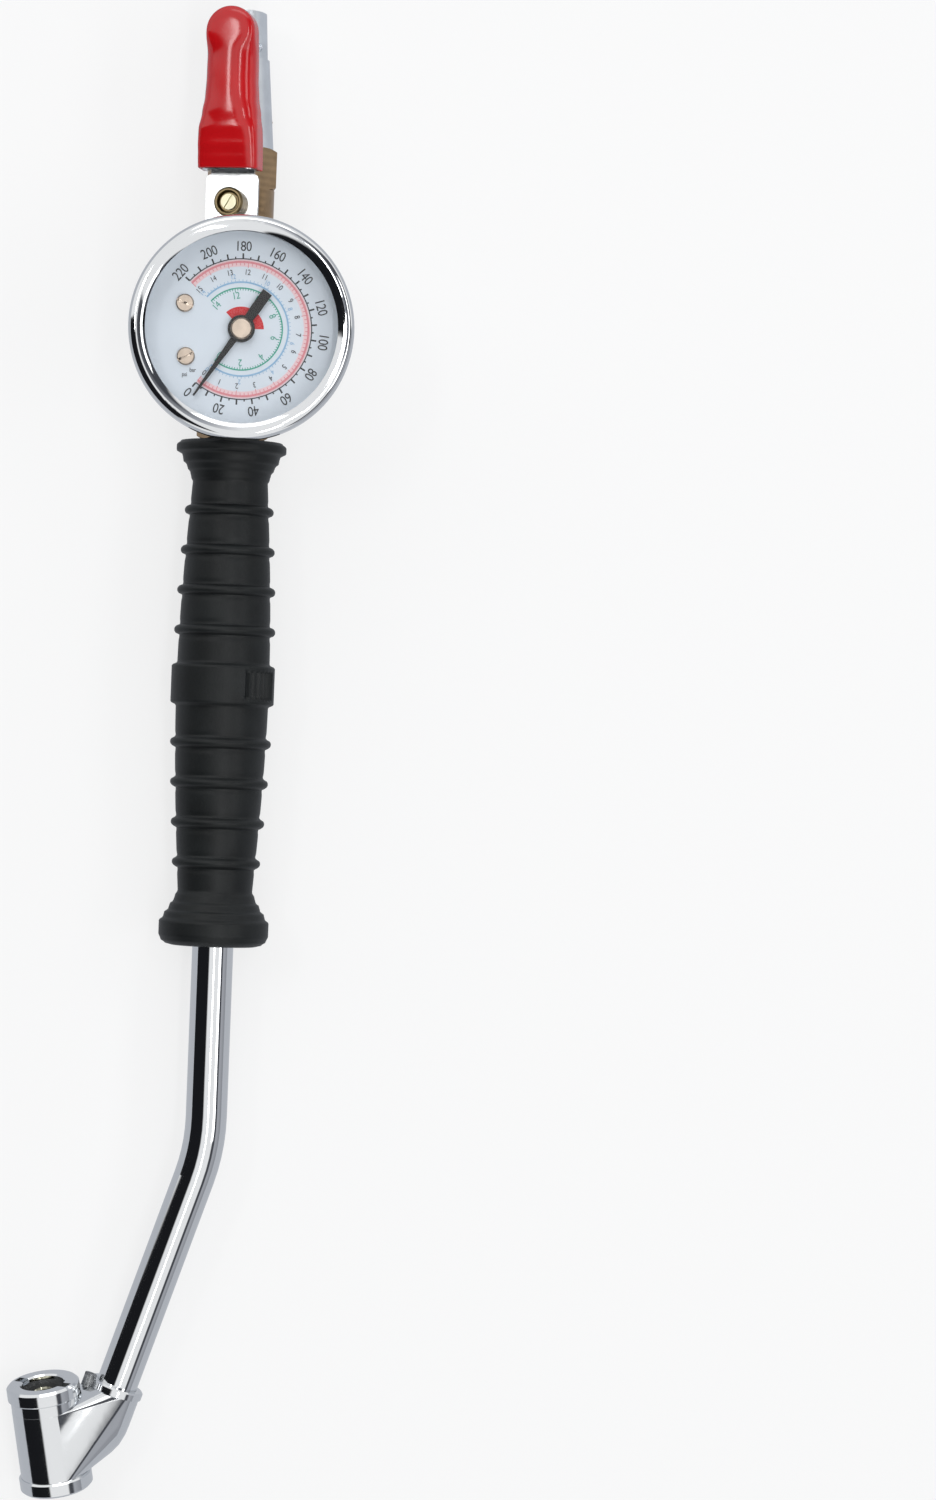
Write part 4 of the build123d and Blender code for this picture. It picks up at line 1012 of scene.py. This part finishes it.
def world_tone(tree):
    # A light tent: a dark card hangs over its left side and a narrow one over its right.
    place = add(tree, "ShaderNodeTexCoord").outputs["Generated"]
    parts = add(tree, "ShaderNodeSeparateXYZ", links={"Vector": place})
    side = add(tree, "ShaderNodeMath", links={0: parts.outputs["X"], 1: parts.outputs["Z"]},
               operation="ARCTAN2")
    turn = add(tree, "ShaderNodeMapRange",
               {"From Min": -math.pi, "From Max": math.pi}, {"Value": side.outputs["Value"]})
    white, grey, dim, slate, dark = (hex_colour(text) for text in
                                     ("#FFFFFF", "#B4B6BC", "#8A8C92", "#4A4C52", "#1C1D20"))
    across = ramp(tree, turn.outputs["Result"],
                  [(0.0, white), (0.12, white), (0.16, dim), (0.21, grey), (0.22, dark),
                   (0.445, dark), (0.46, white), (0.625, white), (0.635, slate), (0.665, slate),
                   (0.68, grey), (0.78, dim), (1.0, white)])
    along = add(tree, "ShaderNodeMapRange", {"From Min": -1.0}, {"Value": parts.outputs["Y"]})
    clear, card = (1, 1, 1, 1), (0, 0, 0, 1)
    ends = ramp(tree, along.outputs["Result"],
                [(0.0, clear), (0.07, clear), (0.1, card), (0.562, card), (0.576, clear)])
    mixed = add(tree, "ShaderNodeMix", {7: white}, {0: ends, 6: across}, data_type="RGBA")
    # A second card to the right of the dial, which the tube doesn't mirror.
    second = ramp(tree, turn.outputs["Result"],
                  [(0.0, white), (0.495, white), (0.53, grey), (0.585, slate), (0.68, slate),
                   (0.7, white), (1.0, white)])
    reach = ramp(tree, along.outputs["Result"],
                 [(0.0, card), (0.48, card), (0.495, clear), (0.82, clear), (0.86, card)])
    both = add(tree, "ShaderNodeMix", links={0: reach, 6: mixed.outputs[2], 7: second},
               data_type="RGBA", blend_type="MULTIPLY")
    return both.outputs[2]


def make_world():
    world = bpy.data.worlds.new("studio_air")
    world.use_nodes = True
    tree = world.node_tree
    tree.nodes.clear()
    path = add(tree, "ShaderNodeLightPath")
    room = add(tree, "ShaderNodeBackground", {"Strength": 0.95}, {"Color": world_tone(tree)})
    white = add(tree, "ShaderNodeBackground", {"Color": (1, 1, 1, 1), "Strength": 1.0})
    mixed = add(tree, "ShaderNodeMixShader",
                links={0: path.outputs["Is Camera Ray"], 1: room.outputs["Background"],
                       2: white.outputs["Background"]})
    add(tree, "ShaderNodeOutputWorld", links={"Surface": mixed.outputs["Shader"]})
    bpy.context.scene.world = world


# The photograph's size on the tool, and places in it in pixels from the upper left.
PHOTO_PIXEL = 0.3 * MM
PHOTO_DIAL = (241, 326)
PHOTO_STAND = (200, 750)
PHOTO_MIDDLE = 468
LENS_LENGTH, SENSOR_WIDTH = 103.8, 36.0


def make_camera():
    """A camera over the tool, rolled as the photograph is and aimed at the frame's middle."""
    roll = sizes().camera_roll
    right = Vector((math.cos(roll), math.sin(roll), 0))
    up = Vector((-math.sin(roll), math.cos(roll), 0))
    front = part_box("bezel_ring")[1].z
    dial = dial_middle()
    below = Vector((dial.x, dial.y, front))
    below += right * (PHOTO_STAND[0] - PHOTO_DIAL[0]) * PHOTO_PIXEL
    below += up * (PHOTO_DIAL[1] - PHOTO_STAND[1]) * PHOTO_PIXEL
    place = below + Vector((0, 0, sizes().camera_height))
    target = below + right * (PHOTO_MIDDLE - PHOTO_STAND[0]) * PHOTO_PIXEL
    data = bpy.data.cameras.new("photo_camera")
    data.sensor_width = SENSOR_WIDTH
    data.lens = LENS_LENGTH
    data.clip_start = 0.01
    data.clip_end = 20.0
    camera = bpy.data.objects.new("photo_camera", data)
    bpy.context.scene.collection.objects.link(camera)
    aim(camera, place, target, up)
    bpy.context.scene.camera = camera


class INFLATOR_OT_stage(bpy.types.Operator):
    """Sets the floor, the lamps, the world and the camera"""
    bl_idname = "inflator.stage"
    bl_label = "Stage"

    def execute(self, context):
        make_floor()
        make_lights()
        make_world()
        make_camera()
        context.scene.view_settings.view_transform = "Standard"
        return {"FINISHED"}


OPERATORS = (
    INFLATOR_OT_chrome,
    INFLATOR_OT_grip,
    INFLATOR_OT_trigger,
    INFLATOR_OT_valves,
    INFLATOR_OT_movement,
    INFLATOR_OT_dial,
    INFLATOR_OT_stage,
)


class INFLATOR_PT_panel(bpy.types.Panel):
    """Lists the steps that dress the inflator"""
    bl_label = "Tyre Inflator"
    bl_idname = "INFLATOR_PT_panel"
    bl_space_type = "VIEW_3D"
    bl_region_type = "UI"
    bl_category = "Inflator"

    def draw(self, context):
        column = self.layout.column(align=True)
        for operator in OPERATORS:
            column.operator(operator.bl_idname)
        for group in (context.scene.inflator_sizes, context.scene.inflator_colours):
            box = self.layout.box()
            for name in group.__annotations__:
                box.prop(group, name)


CLASSES = (InflatorSizes, InflatorColours) + OPERATORS + (INFLATOR_PT_panel,)


def register():
    for item in CLASSES:
        bpy.utils.register_class(item)
    bpy.types.Scene.inflator_sizes = bpy.props.PointerProperty(type=InflatorSizes)
    bpy.types.Scene.inflator_colours = bpy.props.PointerProperty(type=InflatorColours)


def unregister():
    del bpy.types.Scene.inflator_colours
    del bpy.types.Scene.inflator_sizes
    for item in reversed(CLASSES):
        bpy.utils.unregister_class(item)


def main():
    register()
    for operator in OPERATORS:
        group, name = operator.bl_idname.split(".")
        getattr(getattr(bpy.ops, group), name)()
    bpy.context.view_layer.update()


if __name__ == "__main__":
    main()
